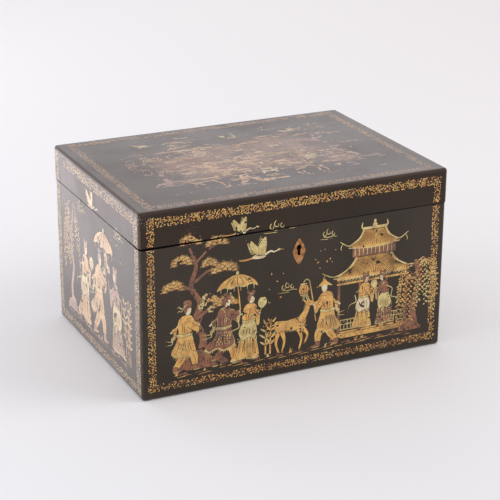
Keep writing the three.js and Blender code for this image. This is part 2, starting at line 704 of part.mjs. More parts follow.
// The canted form of a canister, drawn in by an inset on every side
function canisterForm(inset) {
  const x = wellWidth / 2 - CANISTER_CLEARANCE - inset;
  const y = wellDepth / 2 - CANISTER_CLEARANCE - inset;
  const cant = CANISTER_CANT - inset * cantShrink;
  const edge = SHOULDER_EDGE - inset * cantShrink;
  const half = [[x, cant - y], [x, y - cant], [x - cant, y], [cant - x, y]];
  const outline = polygon([...half, ...half.map(([u, v]) => [-u, -v])]);
  const form = easedPrism(outline, [-2 * edge, canisterHeight - inset], edge, 1);
  return cut(form, block(span(0, WIDTH), span(0, DEPTH), [-HEIGHT, inset]));
}

function canisterBody() {
  const neckTop = canisterHeight + NECK_HEIGHT;
  const neckFoot = canisterHeight - CANISTER_WALL;
  const steps = NECK_SIDES / 2;
  const neck = prism(circle(0, 0, NECK_RADIUS), 'z', [neckFoot, neckTop], { steps });
  const mouth = prism(circle(0, 0, NECK_RADIUS - NECK_WALL), 'z', [SHOULDER_EDGE, neckTop + NECK_HEIGHT], { steps });
  return cut(join(canisterForm(0), neck), canisterForm(CANISTER_WALL), mouth);
}

// A shallow domed cup that slips over the neck, with a flat seat and a hole for the finial
function canisterCap() {
  const inner = NECK_RADIUS + CAP_CLEARANCE;
  const outer = inner + CAP_WALL;
  const hole = FINIAL_TENON_RADIUS + CAP_CLEARANCE;
  const shoulder = CAP_HEIGHT - CAP_DOME;
  const profile = [
    [outer, 0],
    [outer, shoulder - CAP_EDGE],
    [outer - CAP_EDGE, shoulder],
    [FINIAL_FOOT, CAP_HEIGHT],
    [hole, CAP_HEIGHT],
    [hole, CAP_HEIGHT - CAP_WALL],
    [FINIAL_FOOT, CAP_HEIGHT - CAP_WALL],
    [inner, shoulder - CAP_WALL],
    [inner, 0],
    [outer, 0],
  ];
  return turned(profile, { sides: NECK_SIDES });
}

// A shallow plug with a flange that rests on the neck, drawn from the neck's top
function canisterStopper() {
  const plug = NECK_RADIUS - NECK_WALL - CAP_CLEARANCE;
  const flange = NECK_RADIUS - STOPPER_FLANGE_MARGIN;
  const knobTop = STOPPER_WALL + STOPPER_KNOB_HEIGHT;
  const profile = [
    [0, 0],
    [plug - STOPPER_WALL, 0],
    [plug - STOPPER_WALL, -STOPPER_DEPTH],
    [plug, -STOPPER_DEPTH],
    [plug, 0],
    [flange, 0],
    [flange, STOPPER_WALL],
    [STOPPER_KNOB_RADIUS - STOPPER_KNOB_EDGE, STOPPER_WALL],
    [STOPPER_KNOB_RADIUS, knobTop - STOPPER_KNOB_EDGE],
    [STOPPER_KNOB_RADIUS - STOPPER_KNOB_EDGE, knobTop],
    [0, knobTop],
  ];
  return turned(profile, { sides: NECK_SIDES });
}

// A turned knob with a tenon that goes through the cap, drawn from the cap's top
function finial() {
  const tenon = -CAP_WALL - CAP_CLEARANCE;
  const profile = [
    [0, tenon],
    [FINIAL_TENON_RADIUS, tenon],
    [FINIAL_TENON_RADIUS, 0],
    [FINIAL_FOOT, 0],
    [FINIAL_WAIST, FINIAL_WAIST_HEIGHT],
    [FINIAL_RADIUS, FINIAL_HEIGHT - FINIAL_BELLY_DROP],
    [FINIAL_CROWN, FINIAL_HEIGHT - FINIAL_CROWN_DROP],
    [FINIAL_TIP, FINIAL_HEIGHT],
    [0, FINIAL_HEIGHT],
  ];
  return turned(profile);
}

function addCanister(parent, name, x) {
  const canister = group(parent, x, 0, BASE_THICKNESS);
  part(`${name}_canister`, canisterBody(), pewter, canister);
  const stopper = group(canister, 0, 0, canisterHeight + NECK_HEIGHT);
  part(`${name}_canister_stopper`, canisterStopper(), pewter, stopper);
  const cap = group(canister, 0, 0, canisterHeight);
  part(`${name}_canister_cap`, canisterCap(), pewter, cap);
  part(`${name}_canister_finial`, finial(), bone, group(cap, 0, 0, CAP_HEIGHT));
}

const caddy = new THREE.Group();
addBodyBoards(caddy);
addLinings(caddy);
addLidBoards(caddy);
addHinge(caddy, 'left', -hingeX);
addHinge(caddy, 'right', hingeX);
addLock(caddy);
addLinkPlate(caddy);
addEscutcheon(caddy);
addCanister(caddy, 'left', -wellX);
addCanister(caddy, 'right', wellX);

export default caddy;
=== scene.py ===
"""Looks for the lacquer tea caddy: lacquered shells, gilding, metal and canisters. Metres, +Z up."""
import math

import bmesh
import bpy
import numpy as np
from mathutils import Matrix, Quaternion, Vector
from mathutils.geometry import delaunay_2d_cdt


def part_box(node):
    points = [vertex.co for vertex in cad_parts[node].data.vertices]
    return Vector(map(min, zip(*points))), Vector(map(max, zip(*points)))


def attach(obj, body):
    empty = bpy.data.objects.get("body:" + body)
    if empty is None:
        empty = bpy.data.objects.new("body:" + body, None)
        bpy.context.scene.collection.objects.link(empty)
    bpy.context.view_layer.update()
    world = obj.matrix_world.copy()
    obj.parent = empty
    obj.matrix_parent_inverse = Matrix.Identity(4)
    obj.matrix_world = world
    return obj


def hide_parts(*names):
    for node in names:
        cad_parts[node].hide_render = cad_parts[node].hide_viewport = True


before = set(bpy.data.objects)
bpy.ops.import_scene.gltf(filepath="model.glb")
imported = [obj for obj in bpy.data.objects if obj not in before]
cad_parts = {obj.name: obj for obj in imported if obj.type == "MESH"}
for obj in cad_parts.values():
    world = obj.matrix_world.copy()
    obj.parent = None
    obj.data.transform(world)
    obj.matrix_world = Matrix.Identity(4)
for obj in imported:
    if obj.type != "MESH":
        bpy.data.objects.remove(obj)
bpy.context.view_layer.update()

MM = 0.001

# Camera, as the photograph was taken: a long lens from the front left, a little above
FRAME_PX = 500
FOCAL_PX = 1614.5
SENSOR = 36
CAMERA_AT = Vector((-0.607245, -1.284296, 0.616632))
CAMERA_TARGET = Vector((0.006582, 0.006162, 0.077577))
CAMERA_ROLL = 0.0044

# Edges of the lacquered box
CORNER_RADIUS = 3.4 * MM
TOP_RADIUS = 2.8 * MM
FOOT_RADIUS = 3.2 * MM
RIM_RADIUS = 0.6 * MM
CORNER_SEGMENTS = 8
ROUND_SEGMENTS = 6
RIM_SEGMENTS = 2


# Objects

SMOOTH_DEGREES = 35
LEVEL_TOLERANCE = 1e-7


def new_object(name, mesh, material=None):
    obj = bpy.data.objects.new(name, mesh)
    bpy.context.scene.collection.objects.link(obj)
    if material:
        mesh.materials.append(material)
    return obj


def from_bmesh(name, bm, material=None):
    mesh = bpy.data.meshes.new(name)
    bm.to_mesh(mesh)
    bm.free()
    return new_object(name, mesh, material)


def soften(obj):
    """Smooth shading that keeps flat faces flat."""
    obj.data.shade_smooth()
    obj.data.set_sharp_from_angle(angle=math.radians(SMOOTH_DEGREES))
    weigh = obj.modifiers.new("even", "WEIGHTED_NORMAL")
    weigh.keep_sharp = True


def block_mesh(low, high):
    bm = bmesh.new()
    bmesh.ops.create_cube(bm, size=1)
    for vert in bm.verts:
        vert.co = Vector([high[i] if vert.co[i] > 0 else low[i] for i in range(3)])
    return bm


def on_level(edge, level):
    return all(abs(vert.co.z - level) < LEVEL_TOLERANCE for vert in edge.verts)


def round_edges(bm, edges, radius, segments):
    bmesh.ops.bevel(bm, geom=edges, offset=radius, segments=segments, profile=0.5, affect="EDGES")


def rounded_block(name, low, high, material, rounds):
    """A block with rounded upright corners. rounds lists (level, radius, segments) for its flat ends."""
    bm = block_mesh(low, high)
    upright = [e for e in bm.edges if not on_level(e, e.verts[0].co.z)]
    round_edges(bm, upright, CORNER_RADIUS, CORNER_SEGMENTS)
    for level, radius, segments in rounds:
        round_edges(bm, [e for e in bm.edges if on_level(e, level)], radius, segments)
    return from_bmesh(name, bm, material)


def cutter_block(low, high):
    return from_bmesh("cutter", block_mesh(low, high))


def prism(near_points, far_points):
    """A cutter from one outline to another with as many points."""
    bm = bmesh.new()
    near, far = ([bm.verts.new(point) for point in outline] for outline in (near_points, far_points))
    bm.faces.new(near)
    bm.faces.new(far[::-1])
    for i in range(len(near)):
        j = (i + 1) % len(near)
        bm.faces.new((near[i], far[i], far[j], near[j]))
    bmesh.ops.recalc_face_normals(bm, faces=bm.faces)
    return from_bmesh("cutter", bm)


def carve(obj, cutters):
    for cutter in cutters:
        cut = obj.modifiers.new("cut", "BOOLEAN")
        cut.operation = "DIFFERENCE"
        cut.solver = "EXACT"
        cut.object = cutter
    graph = bpy.context.evaluated_depsgraph_get()
    mesh = bpy.data.meshes.new_from_object(obj.evaluated_get(graph))
    obj.modifiers.clear()
    obj.data = mesh
    for cutter in cutters:
        bpy.data.objects.remove(cutter)


def box_of(*nodes):
    boxes = [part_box(node) for node in nodes]
    low = Vector([min(b[0][i] for b in boxes) for i in range(3)])
    high = Vector([max(b[1][i] for b in boxes) for i in range(3)])
    return low, high


def grown(box, *margins):
    margin = Vector(margins if len(margins) == 3 else margins * 3)
    return box[0] - margin, box[1] + margin


# Materials

# Flaked places on the lacquer, each with its reach and the colour that shows
DAMAGE = (
    ((-0.15, -0.097, 0.166), 0.013, (176, 166, 160)),
    ((-0.146, -0.106, 0.166), 0.009, (150, 138, 130)),
    ((-0.15, 0.1, 0.168), 0.008, (176, 166, 160)),
    ((-0.104, -0.108, 0.15), 0.013, (92, 70, 58)),
    ((0.146, -0.108, 0.008), 0.012, (120, 98, 84)),
    ((0.149, 0.106, 0.171), 0.01, (160, 148, 140)),
)

# Nicks in the lid's left edge, each with its reach
NICKS = (
    ((-0.15, 0.069, 0.1665), 0.003),
    ((-0.15, 0.0685, 0.1625), 0.0024),
    ((-0.15, -0.1015, 0.1685), 0.0022),
)


class Shader:
    """A material whose nodes are added by short calls that pass sockets on."""

    def __init__(self, name):
        self.material = bpy.data.materials.new(name)
        self.material.use_nodes = True
        self.tree = self.material.node_tree
        self.tree.nodes.clear()
        self.place = self.node("ShaderNodeTexCoord").outputs["Object"]

    def node(self, kind, inputs=None, **settings):
        made = self.tree.nodes.new(kind)
        for key, value in settings.items():
            setattr(made, key, value)
        for key, value in (inputs or {}).items():
            if isinstance(value, bpy.types.NodeSocket):
                self.tree.links.new(value, made.inputs[key])
            else:
                made.inputs[key].default_value = value
        return made

    def math(self, operation, a, b=0.0, clamp=False):
        return self.node("ShaderNodeMath", {0: a, 1: b}, operation=operation, use_clamp=clamp).outputs[0]

    def times(self, a, b):
        return self.math("MULTIPLY", a, b)

    def plus(self, a, b):
        return self.math("ADD", a, b)

    def minus(self, a, b):
        return self.math("SUBTRACT", a, b)

    def noise(self, scale, detail=2.0, distortion=0.0, vector=None, roughness=0.5):
        inputs = {"Vector": vector or self.place, "Scale": scale, "Detail": detail}
        inputs.update({"Distortion": distortion, "Roughness": roughness})
        return self.node("ShaderNodeTexNoise", inputs).outputs[0]

    def stretched(self, sx, sy, sz, turn=(0, 0, 0)):
        inputs = {"Vector": self.place, "Scale": (sx, sy, sz), "Rotation": turn}
        return self.node("ShaderNodeMapping", inputs).outputs[0]

    def cells(self, scale):
        return self.node("ShaderNodeTexVoronoi", {"Vector": self.place, "Scale": scale}).outputs["Distance"]

    def between(self, value, low, high, to_low=0.0, to_high=1.0):
        """A smooth step of value from low to high."""
        inputs = {"Value": value, 1: low, 2: high, 3: to_low, 4: to_high}
        return self.node("ShaderNodeMapRange", inputs, interpolation_type="SMOOTHSTEP").outputs[0]

    def mix(self, factor, a, b):
        return self.node("ShaderNodeMix", {0: factor, 6: a, 7: b}, data_type="RGBA").outputs[2]

    def separate(self):
        return self.node("ShaderNodeSeparateXYZ", {0: self.place}).outputs

    def edge_distance(self, low, high):
        """How far a point on the box from low to high is from the nearest edge of the box."""
        axes = self.separate()
        depth = []
        for i in range(3):
            inward, outward = self.minus(axes[i], low[i]), self.minus(high[i], axes[i])
            depth.append(self.math("MINIMUM", inward, outward))
        small = self.math("MINIMUM", depth[0], depth[1])
        large = self.math("MAXIMUM", depth[0], depth[1])
        return self.math("MAXIMUM", small, self.math("MINIMUM", large, depth[2]))

    def bump(self, height, strength, distance, normal=None):
        inputs = {"Height": height, "Strength": strength, "Distance": distance}
        if normal:
            inputs["Normal"] = normal
        return self.node("ShaderNodeBump", inputs).outputs[0]

    def finish(self, **inputs):
        named = {key.replace("_", " "): value for key, value in inputs.items()}
        surface = self.node("ShaderNodeBsdfPrincipled", named)
        self.node("ShaderNodeOutputMaterial", {0: surface.outputs[0]})
        return self.material


def rgb(red, green, blue):
    """A colour given as screen values from 0 to 255, as the linear colour that the shaders take."""
    shown = (red / 255, green / 255, blue / 255)
    linear = [c / 12.92 if c <= 0.04045 else ((c + 0.055) / 1.055) ** 2.4 for c in shown]
    return (*linear, 1)


# The lacquer's tones on the lid and the body, then in metres: the step between them, how far edges are worn,
# where below the top that wear lessens, where the top's haze begins and how far it reaches from the middle,
# how ragged the seam's painted shade is towards the front left corner, and half that painted shade's width
LACQUER_TONES = (rgb(31, 26, 22), rgb(42, 32, 27)), (rgb(44, 41, 36), rgb(53, 48, 43))
SEAM_BLEND = 0.0005
WORN_REACH, WORN_EDGE = 0.0032, (0.0005, -0.0009)
LESS_WORN_FROM, LESS_WORN_TO = 0.02, 0.004
HAZE_FROM, HAZE_TO = 0.002, 0.0005
HAZE_REACH, HAZE_FADE = (0.115, 0.072), 0.03
FRAY_X, FRAY_Y, SEAM_FRAY = (0.02, -0.1), (-0.06, -0.1), (0.0009, 0.0021)
SEAM_SHADE_HALF = 0.0003


def near(s, point, reach):
    """A soft spot about a point."""
    offset = s.node("ShaderNodeVectorMath", {0: s.place, 1: point}, operation="DISTANCE").outputs["Value"]
    return s.between(offset, reach, reach * 0.35)


def ghost(s, axes):
    """Where the lid's worn picture leaves a brown haze on the lacquer."""
    patches = s.between(s.noise(24, 4, 0.6), 0.3, 0.56)
    for axis, reach in zip(axes, HAZE_REACH):
        off = s.plus(s.math("ABSOLUTE", axis), s.times(s.noise(30, 3), HAZE_FADE))
        patches = s.times(patches, s.between(off, reach, reach - HAZE_FADE))
    worn = s.between(s.noise(420, 4, vector=s.stretched(0.35, 1, 1)), 0.38, 0.6, 0.55, 1)
    return s.times(s.times(patches, worn), 0.85)


def lacquer_material(name, low, high, seam):
    """Old lacquer on the box from low to high. Its lid parts from its body at the height of the seam."""
    s = Shader(name)
    axes = s.separate()
    edge = s.edge_distance(low, high)
    cloud = s.between(s.noise(14, 3), 0.35, 0.7)
    on_body = s.between(axes[2], seam + SEAM_BLEND, seam - SEAM_BLEND)
    base = s.mix(on_body, *(s.mix(cloud, *tones) for tones in LACQUER_TONES))
    ragged = s.plus(edge, s.times(s.noise(160, 4, 0.6), -WORN_REACH))
    worn = s.between(ragged, *WORN_EDGE)
    worn = s.times(worn, s.between(s.noise(30, 3), 0.32, 0.56))
    worn = s.times(worn, s.between(axes[2], high[2] - LESS_WORN_FROM, high[2] - LESS_WORN_TO, 1, 0.1))
    base = s.mix(worn, base, rgb(104, 78, 66))
    chip = s.times(s.between(s.cells(240), 0.12, 0.05), s.between(s.noise(46, 2), 0.62, 0.7))
    base = s.mix(s.times(chip, 0.6), base, rgb(120, 96, 76))
    flakes, specks = s.between(s.cells(430), 0.44, 0.3), s.between(s.cells(760), 0.36, 0.26)
    for point, reach, shown in DAMAGE:
        spot = near(s, point, reach)
        base = s.mix(s.times(flakes, spot), base, rgb(24, 22, 26))
        base = s.mix(s.times(s.times(specks, spot), 0.7), base, rgb(*shown))
    for point, reach in NICKS:
        base = s.mix(near(s, point, reach), base, rgb(20, 14, 12))
    haze = s.times(s.between(axes[2], high[2] - HAZE_FROM, high[2] - HAZE_TO), ghost(s, axes))
    base = s.mix(haze, base, rgb(146, 108, 86))
    # Painted shade in the gap between lid and body: a thin near-black band along the seam, ragged towards the
    # front left, with less gloss and sheen
    fray = s.times(s.between(axes[0], *FRAY_X, *SEAM_FRAY), s.between(axes[1], *FRAY_Y, 0.5, 1))
    ragged_seam = s.times(s.noise(210, 4, 0.8), fray)
    off_seam = s.math("ABSOLUTE", s.minus(axes[2], seam))
    painted_seam_shade = s.between(s.minus(off_seam, ragged_seam), SEAM_SHADE_HALF, -SEAM_SHADE_HALF)
    base = s.mix(painted_seam_shade, base, rgb(14, 11, 10))
    smudge = s.noise(55, 4, 0.5)
    rub = s.noise(9, 2, 0.8)
    roughness = s.plus(s.between(smudge, 0.3, 0.75, 0.0, 0.06), s.between(rub, 0.35, 0.7, 0.25, 0.36))
    roughness = s.plus(roughness, s.times(worn, 0.2))
    roughness = s.math("ADD", roughness, s.times(painted_seam_shade, 0.5), clamp=True)
    gloss = s.minus(0.5, s.times(painted_seam_shade, 0.45))
    wave = s.bump(s.noise(11, 1), 0.35, 0.0022)
    grain = s.bump(s.noise(300, 3), 0.08, 0.0002, wave)
    normal = s.bump(s.minus(1, painted_seam_shade), 0.6, 0.0006, grain)
    sheen = s.minus(0.24, s.times(painted_seam_shade, 0.24))
    return s.finish(Base_Color=base, Roughness=roughness, Normal=normal, IOR=1.45, Specular_IOR_Level=gloss,
                    Specular_Tint=rgb(255, 226, 200), Sheen_Weight=sheen, Sheen_Roughness=0.35)


# Floor, light and camera

FLOOR_HALF = 12
FLOOR_TONES, FLOOR_FADE = (rgb(238, 239, 239), rgb(240, 235, 232)), 1.2
FLOOR_GLOW, FLOOR_GLOW_TONE = 0.1, rgb(247, 238, 244)

# Painted reflection: how strongly the floor glows in mirrored rays only, near the box and further off, and
# where that changes; the box's polished faces mirror this glow
NEAR_REFLECTION_GLOW, NEAR_FROM, NEAR_TO = (0.02, 0.6), -0.01, 0.12
FAR_REFLECTION_GLOW, FAR_FROM, FAR_TO = (0, 1.36), 0, 0.9

# The sky's strength and colour as a light, in mirrored rays and as the backdrop
SKY_LIGHT, SKY_LIGHT_TONE = 0.66, (0.92, 0.94, 1.0, 1)
SKY_MIRRORED, SKY_MIRRORED_TONE = 1.29, (1, 0.952, 0.98, 1)
SKY_SHOWN, SKY_SHOWN_TONE = 1.08, (0.98, 0.966, 0.962, 1)

# Softboxes: name, place, what they point at, size, power and colour
SOFTBOXES = (
    ("left_softbox", (-1.5, 0.1, 0.6), (0, 0, 0.08), (1.2, 1.2), 8, (0.97, 0.95, 1.0)),
    ("low_softbox", (-0.8, 1.3, 0.22), (-0.15, 0, 0.08), (0.8, 0.5), 6, (0.98, 0.95, 1.0)),
    ("back_softbox", (0.35, 1.9, 1.0), (0, 0, 0.12), (2.2, 1.2), 5, (1, 1, 1)),
    ("right_fill", (1.5, -0.9, 1.3), (0.1, 0, 0.08), (1.4, 1.4), 13, (1.0, 0.98, 0.96)),
)


def add_softbox(name, at, target, size, power, color):
    """It lights the scene, but polished surfaces mirror only the floor and the sky."""
    data = bpy.data.lights.new(name, "AREA")
    data.shape = "RECTANGLE"
    data.size, data.size_y = size
    data.energy = power
    data.color = color
    lamp = bpy.data.objects.new(name, data)
    lamp.location = at
    lamp.rotation_euler = (Vector(target) - Vector(at)).to_track_quat("-Z", "Y").to_euler()
    lamp.visible_glossy = False
    bpy.context.scene.collection.objects.link(lamp)


def add_floor():
    s = Shader("floor_paint")
    axes = s.separate()
    tone = s.mix(s.between(axes[0], -FLOOR_FADE, FLOOR_FADE), *FLOOR_TONES)
    path = s.node("ShaderNodeLightPath").outputs
    across = s.minus(axes[1], axes[0])
    # Painted reflection: a glow that only mirrored rays see, brighter towards the back left, so polished
    # faces mirror a bright floor
    painted_reflection_glow = s.plus(s.between(across, NEAR_FROM, NEAR_TO, *NEAR_REFLECTION_GLOW),
                   s.between(across, FAR_FROM, FAR_TO, *FAR_REFLECTION_GLOW))
    mirrored = s.times(path["Is Glossy Ray"], painted_reflection_glow)
    glow = s.plus(s.times(path["Is Camera Ray"], FLOOR_GLOW), mirrored)
    material = s.finish(Base_Color=tone, Roughness=0.9, Specular_IOR_Level=0.1,
                        Emission_Color=FLOOR_GLOW_TONE, Emission_Strength=glow)
    bm = bmesh.new()
    bmesh.ops.create_grid(bm, x_segments=1, y_segments=1, size=FLOOR_HALF)
    from_bmesh("floor", bm, material)


def add_sky():
    world = bpy.data.worlds.new("studio")
    world.use_nodes = True
    tree = world.node_tree
    tree.nodes.clear()
    path = tree.nodes.new("ShaderNodeLightPath").outputs

    def sky(color, strength):
        made = tree.nodes.new("ShaderNodeBackground")
        made.inputs[0].default_value = color
        made.inputs[1].default_value = strength
        return made.outputs[0]

    def either(ray, without, with_ray):
        made = tree.nodes.new("ShaderNodeMixShader")
        for socket, source in zip(made.inputs, (path[ray], without, with_ray)):
            tree.links.new(source, socket)
        return made.outputs[0]

    light = sky(SKY_LIGHT_TONE, SKY_LIGHT)
    mirrored = either("Is Glossy Ray", light, sky(SKY_MIRRORED_TONE, SKY_MIRRORED))
    seen = either("Is Camera Ray", mirrored, sky(SKY_SHOWN_TONE, SKY_SHOWN))
    out = tree.nodes.new("ShaderNodeOutputWorld")
    tree.links.new(seen, out.inputs[0])
    bpy.context.scene.world = world


def add_stage():
    add_floor()
    add_sky()
    for softbox in SOFTBOXES:
        add_softbox(*softbox)


def add_camera():
    data = bpy.data.cameras.new("camera")
    data.sensor_width = SENSOR
    data.lens = FOCAL_PX * SENSOR / FRAME_PX
    camera = bpy.data.objects.new("camera", data)
    camera.location = CAMERA_AT
    turn = (CAMERA_TARGET - CAMERA_AT).to_track_quat("-Z", "Y") @ Quaternion((0, 0, 1), CAMERA_ROLL)
    camera.rotation_euler = turn.to_euler()
    bpy.context.scene.collection.objects.link(camera)
    bpy.context.scene.camera = camera
    bpy.context.scene.view_settings.view_transform = "Standard"


# Lacquered box

BODY_BOARDS = ("front_board", "back_board", "left_board", "right_board")
LID_BOARDS = ("lid_top", "lid_front_rail", "lid_back_rail", "lid_left_rail", "lid_right_rail")
LININGS = ("front_lining", "back_lining", "left_lining", "right_lining")
body_box = box_of(*BODY_BOARDS)
lid_box = box_of(*LID_BOARDS)
lining_box = box_of(*LININGS)
whole_box = (Vector((lid_box[0].x, lid_box[0].y, 0)), lid_box[1])
FIT = 0.3 * MM
FAR = 1.0
KEYHOLE_HALF, KEYHOLE_FOOT, KEYHOLE_HEAD = 2.9 * MM, 8 * MM, 5.6 * MM
LOZENGE_BULGE = 1.4 * MM
LOZENGE_STEPS = 6
HINGE_LEAF = 1.5 * MM
SELVAGE = 1.5 * MM
BEVEL_DEPTH, BEVEL_DEGREES = 6.4 * MM, 48.5


def keyhole_cutter():
    low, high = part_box("escutcheon")
    middle = (low.x + high.x) / 2
    case_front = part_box("lock_case")[0].y
    return cutter_block((middle - KEYHOLE_HALF, -FAR, low.z + KEYHOLE_FOOT),
                        (middle + KEYHOLE_HALF, case_front + FIT, high.z - KEYHOLE_HEAD))


def lozenge(low, high, gap):
    """The keyhole plate's outline, with bowed sides, as points in x and z."""
    x, z = (low.x + high.x) / 2, (low.z + high.z) / 2
    half, tall = (high.x - low.x) / 2, (high.z - low.z) / 2
    half, tall = half + gap, tall + gap * tall / half
    corners = [(half, 0), (0, tall), (-half, 0), (0, -tall)]
    points = []
    for i, (u, v) in enumerate(corners):
        next_u, next_v = corners[(i + 1) % len(corners)]
        bow_u = (u + next_u) / 2 + math.copysign(LOZENGE_BULGE, u + next_u)
        bow_v = (v + next_v) / 2 + math.copysign(LOZENGE_BULGE, v + next_v)
        for t in np.arange(LOZENGE_STEPS) / LOZENGE_STEPS:
            a, b, c = (1 - t) ** 2, 2 * t * (1 - t), t ** 2
            points.append((x + a * u + b * bow_u + c * next_u, z + a * v + b * bow_v + c * next_v))
    return points


def escutcheon_cutter():
    low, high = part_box("escutcheon")
    outline = lozenge(low, high, FIT)
    return prism(*([(x, y, z) for x, z in outline] for y in (-FAR, high.y)))


def hinge_cutters():
    cutters = []
    for side in ("left", "right"):
        low, high = grown(box_of(f"{side}_hinge_body_leaf", f"{side}_hinge_lid_leaf"), FIT, FIT, 0)
        barrel = (low.z + high.z) / 2
        cutters.append(cutter_block((low.x, low.y, barrel - HINGE_LEAF), (high.x, FAR, barrel + HINGE_LEAF)))
    return cutters


def bevel_cutter():
    """The wedge of air behind the hinge line, as wide as the box, between the two back rims."""
    low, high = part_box("left_hinge_pin")
    axis_y, axis_z = (low.y + high.y) / 2, (low.z + high.z) / 2
    rise = BEVEL_DEPTH * math.tan(math.radians(BEVEL_DEGREES))
    wedge = ((axis_y, axis_z), (axis_y + BEVEL_DEPTH, axis_z - rise), (axis_y + BEVEL_DEPTH, axis_z + rise))
    return prism(*([(x, y, z) for y, z in wedge] for x in (-FAR, FAR)))


def add_shells():
    material = lacquer_material("box_lacquer", *whole_box, (body_box[1].z + lid_box[0].z) / 2)
    body = rounded_block("lacquered_body", *body_box, material, [
        (body_box[0].z, FOOT_RADIUS, ROUND_SEGMENTS), (body_box[1].z, RIM_RADIUS, RIM_SEGMENTS)])
    base = grown(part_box("base_board"), FIT / 3, FIT / 3, 0)
    selvage = grown(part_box("lock_plate"), FIT, FIT, 0)
    case = grown(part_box("lock_case"), FIT)
    carve(body, [
        cutter_block((*lining_box[0].xy, base[1].z - MM), (*lining_box[1].xy, FAR)),
        cutter_block((*base[0].xy, -FAR), base[1]),
        cutter_block((*selvage[0].xy, selvage[1].z - SELVAGE), (selvage[1].x, 0, FAR)),
        cutter_block(case[0], (case[1].x, 0, case[1].z)),
        keyhole_cutter(),
        escutcheon_cutter(),
        *hinge_cutters(),
        bevel_cutter(),
    ])
    soften(body)
    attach(body, "box")
    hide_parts(*BODY_BOARDS)
    lid = rounded_block("lacquered_lid", *lid_box, material, [
        (lid_box[1].z, TOP_RADIUS, ROUND_SEGMENTS), (lid_box[0].z, RIM_RADIUS, RIM_SEGMENTS)])
    rails = [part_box("lid_front_rail")[1].y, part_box("lid_back_rail")[0].y]
    sides = [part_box("lid_left_rail")[1].x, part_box("lid_right_rail")[0].x]
    link = grown(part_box("link_plate"), FIT)
    carve(lid, [
        cutter_block((sides[0], rails[0], -FAR), (sides[1], rails[1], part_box("lid_top")[0].z)),
        cutter_block((*link[0].xy, -FAR), link[1]),
        *hinge_cutters(),
        bevel_cutter(),
    ])
    soften(lid)
    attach(lid, "lid")
    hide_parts(*LID_BOARDS)


# Gilding. A picture is drawn in millimetres on a flat sheet, as one field of signed distances for each tone.

TONES = ("brown", "gold", "pale", "cream")
FAR_MM = 9.0
CURVE_STEPS = 6
GAP = 0.45
SAMPLE_BATCH = 60000
OVAL_POINTS = 12

# How far past a shape or stroke its distances are worked out
EDGE_REACH, STROKE_REACH = 1.5, 1.2

# Rubbing: how much finer its second noise is, that noise's share, and how steeply a patch deepens
FINE_WEAR, FINE_SHARE, WEAR_DEPTH = 3.1, 0.4, 1.5

# Marching squares: for each pattern of inside corners, the cell edges that its outlines run from and to.
# Edges count from the bottom, anticlockwise, and the inside lies to the left.
OUTLINE_CASES = {
    1: [(0, 3)], 2: [(1, 0)], 3: [(1, 3)], 4: [(2, 1)], 5: [(0, 3), (2, 1)], 6: [(2, 0)], 7: [(2, 3)],
    8: [(3, 2)], 9: [(0, 2)], 10: [(1, 0), (3, 2)], 11: [(1, 2)], 12: [(3, 1)], 13: [(0, 1)], 14: [(3, 0)],
}


def smooth(points, closed=False, steps=CURVE_STEPS):
    """Points on a smooth curve through the given ones."""
    p = np.asarray(points, float)
    if closed:
        p = np.concatenate([p[-1:], p, p[:2]])
    else:
        p = np.concatenate([2 * p[:1] - p[1:2], p, 2 * p[-1:] - p[-2:-1]])
    t = np.arange(steps)[:, None] / steps
    pieces = []
    for a, b, c, d in zip(p, p[1:], p[2:], p[3:]):
        second, third = 2 * a - 5 * b + 4 * c - d, 3 * b - a - 3 * c + d
        pieces.append(0.5 * (2 * b + (c - a) * t + second * t**2 + third * t**3))
    if not closed:
        pieces.append(p[-2:-1])
    return np.concatenate(pieces)


def soft_noise(shape, cell, random, stretch=(1, 1)):
    """Smooth noise from 0 to 1 over a grid, with features about cell samples across."""
    size = [max(4, int(n / (cell * s)) + 4) for n, s in zip(shape, stretch)]
    coarse = random.random(size)
    axes = [np.linspace(1, m - 2.001, n) for m, n in zip(size, shape)]
    for axis, at in enumerate(axes):
        i = at.astype(int)
        f = at - i
        f = f * f * (3 - 2 * f)
        low, high = np.take(coarse, i, axis), np.take(coarse, i + 1, axis)
        coarse = low + (high - low) * (f[:, None] if axis == 0 else f)
    return coarse


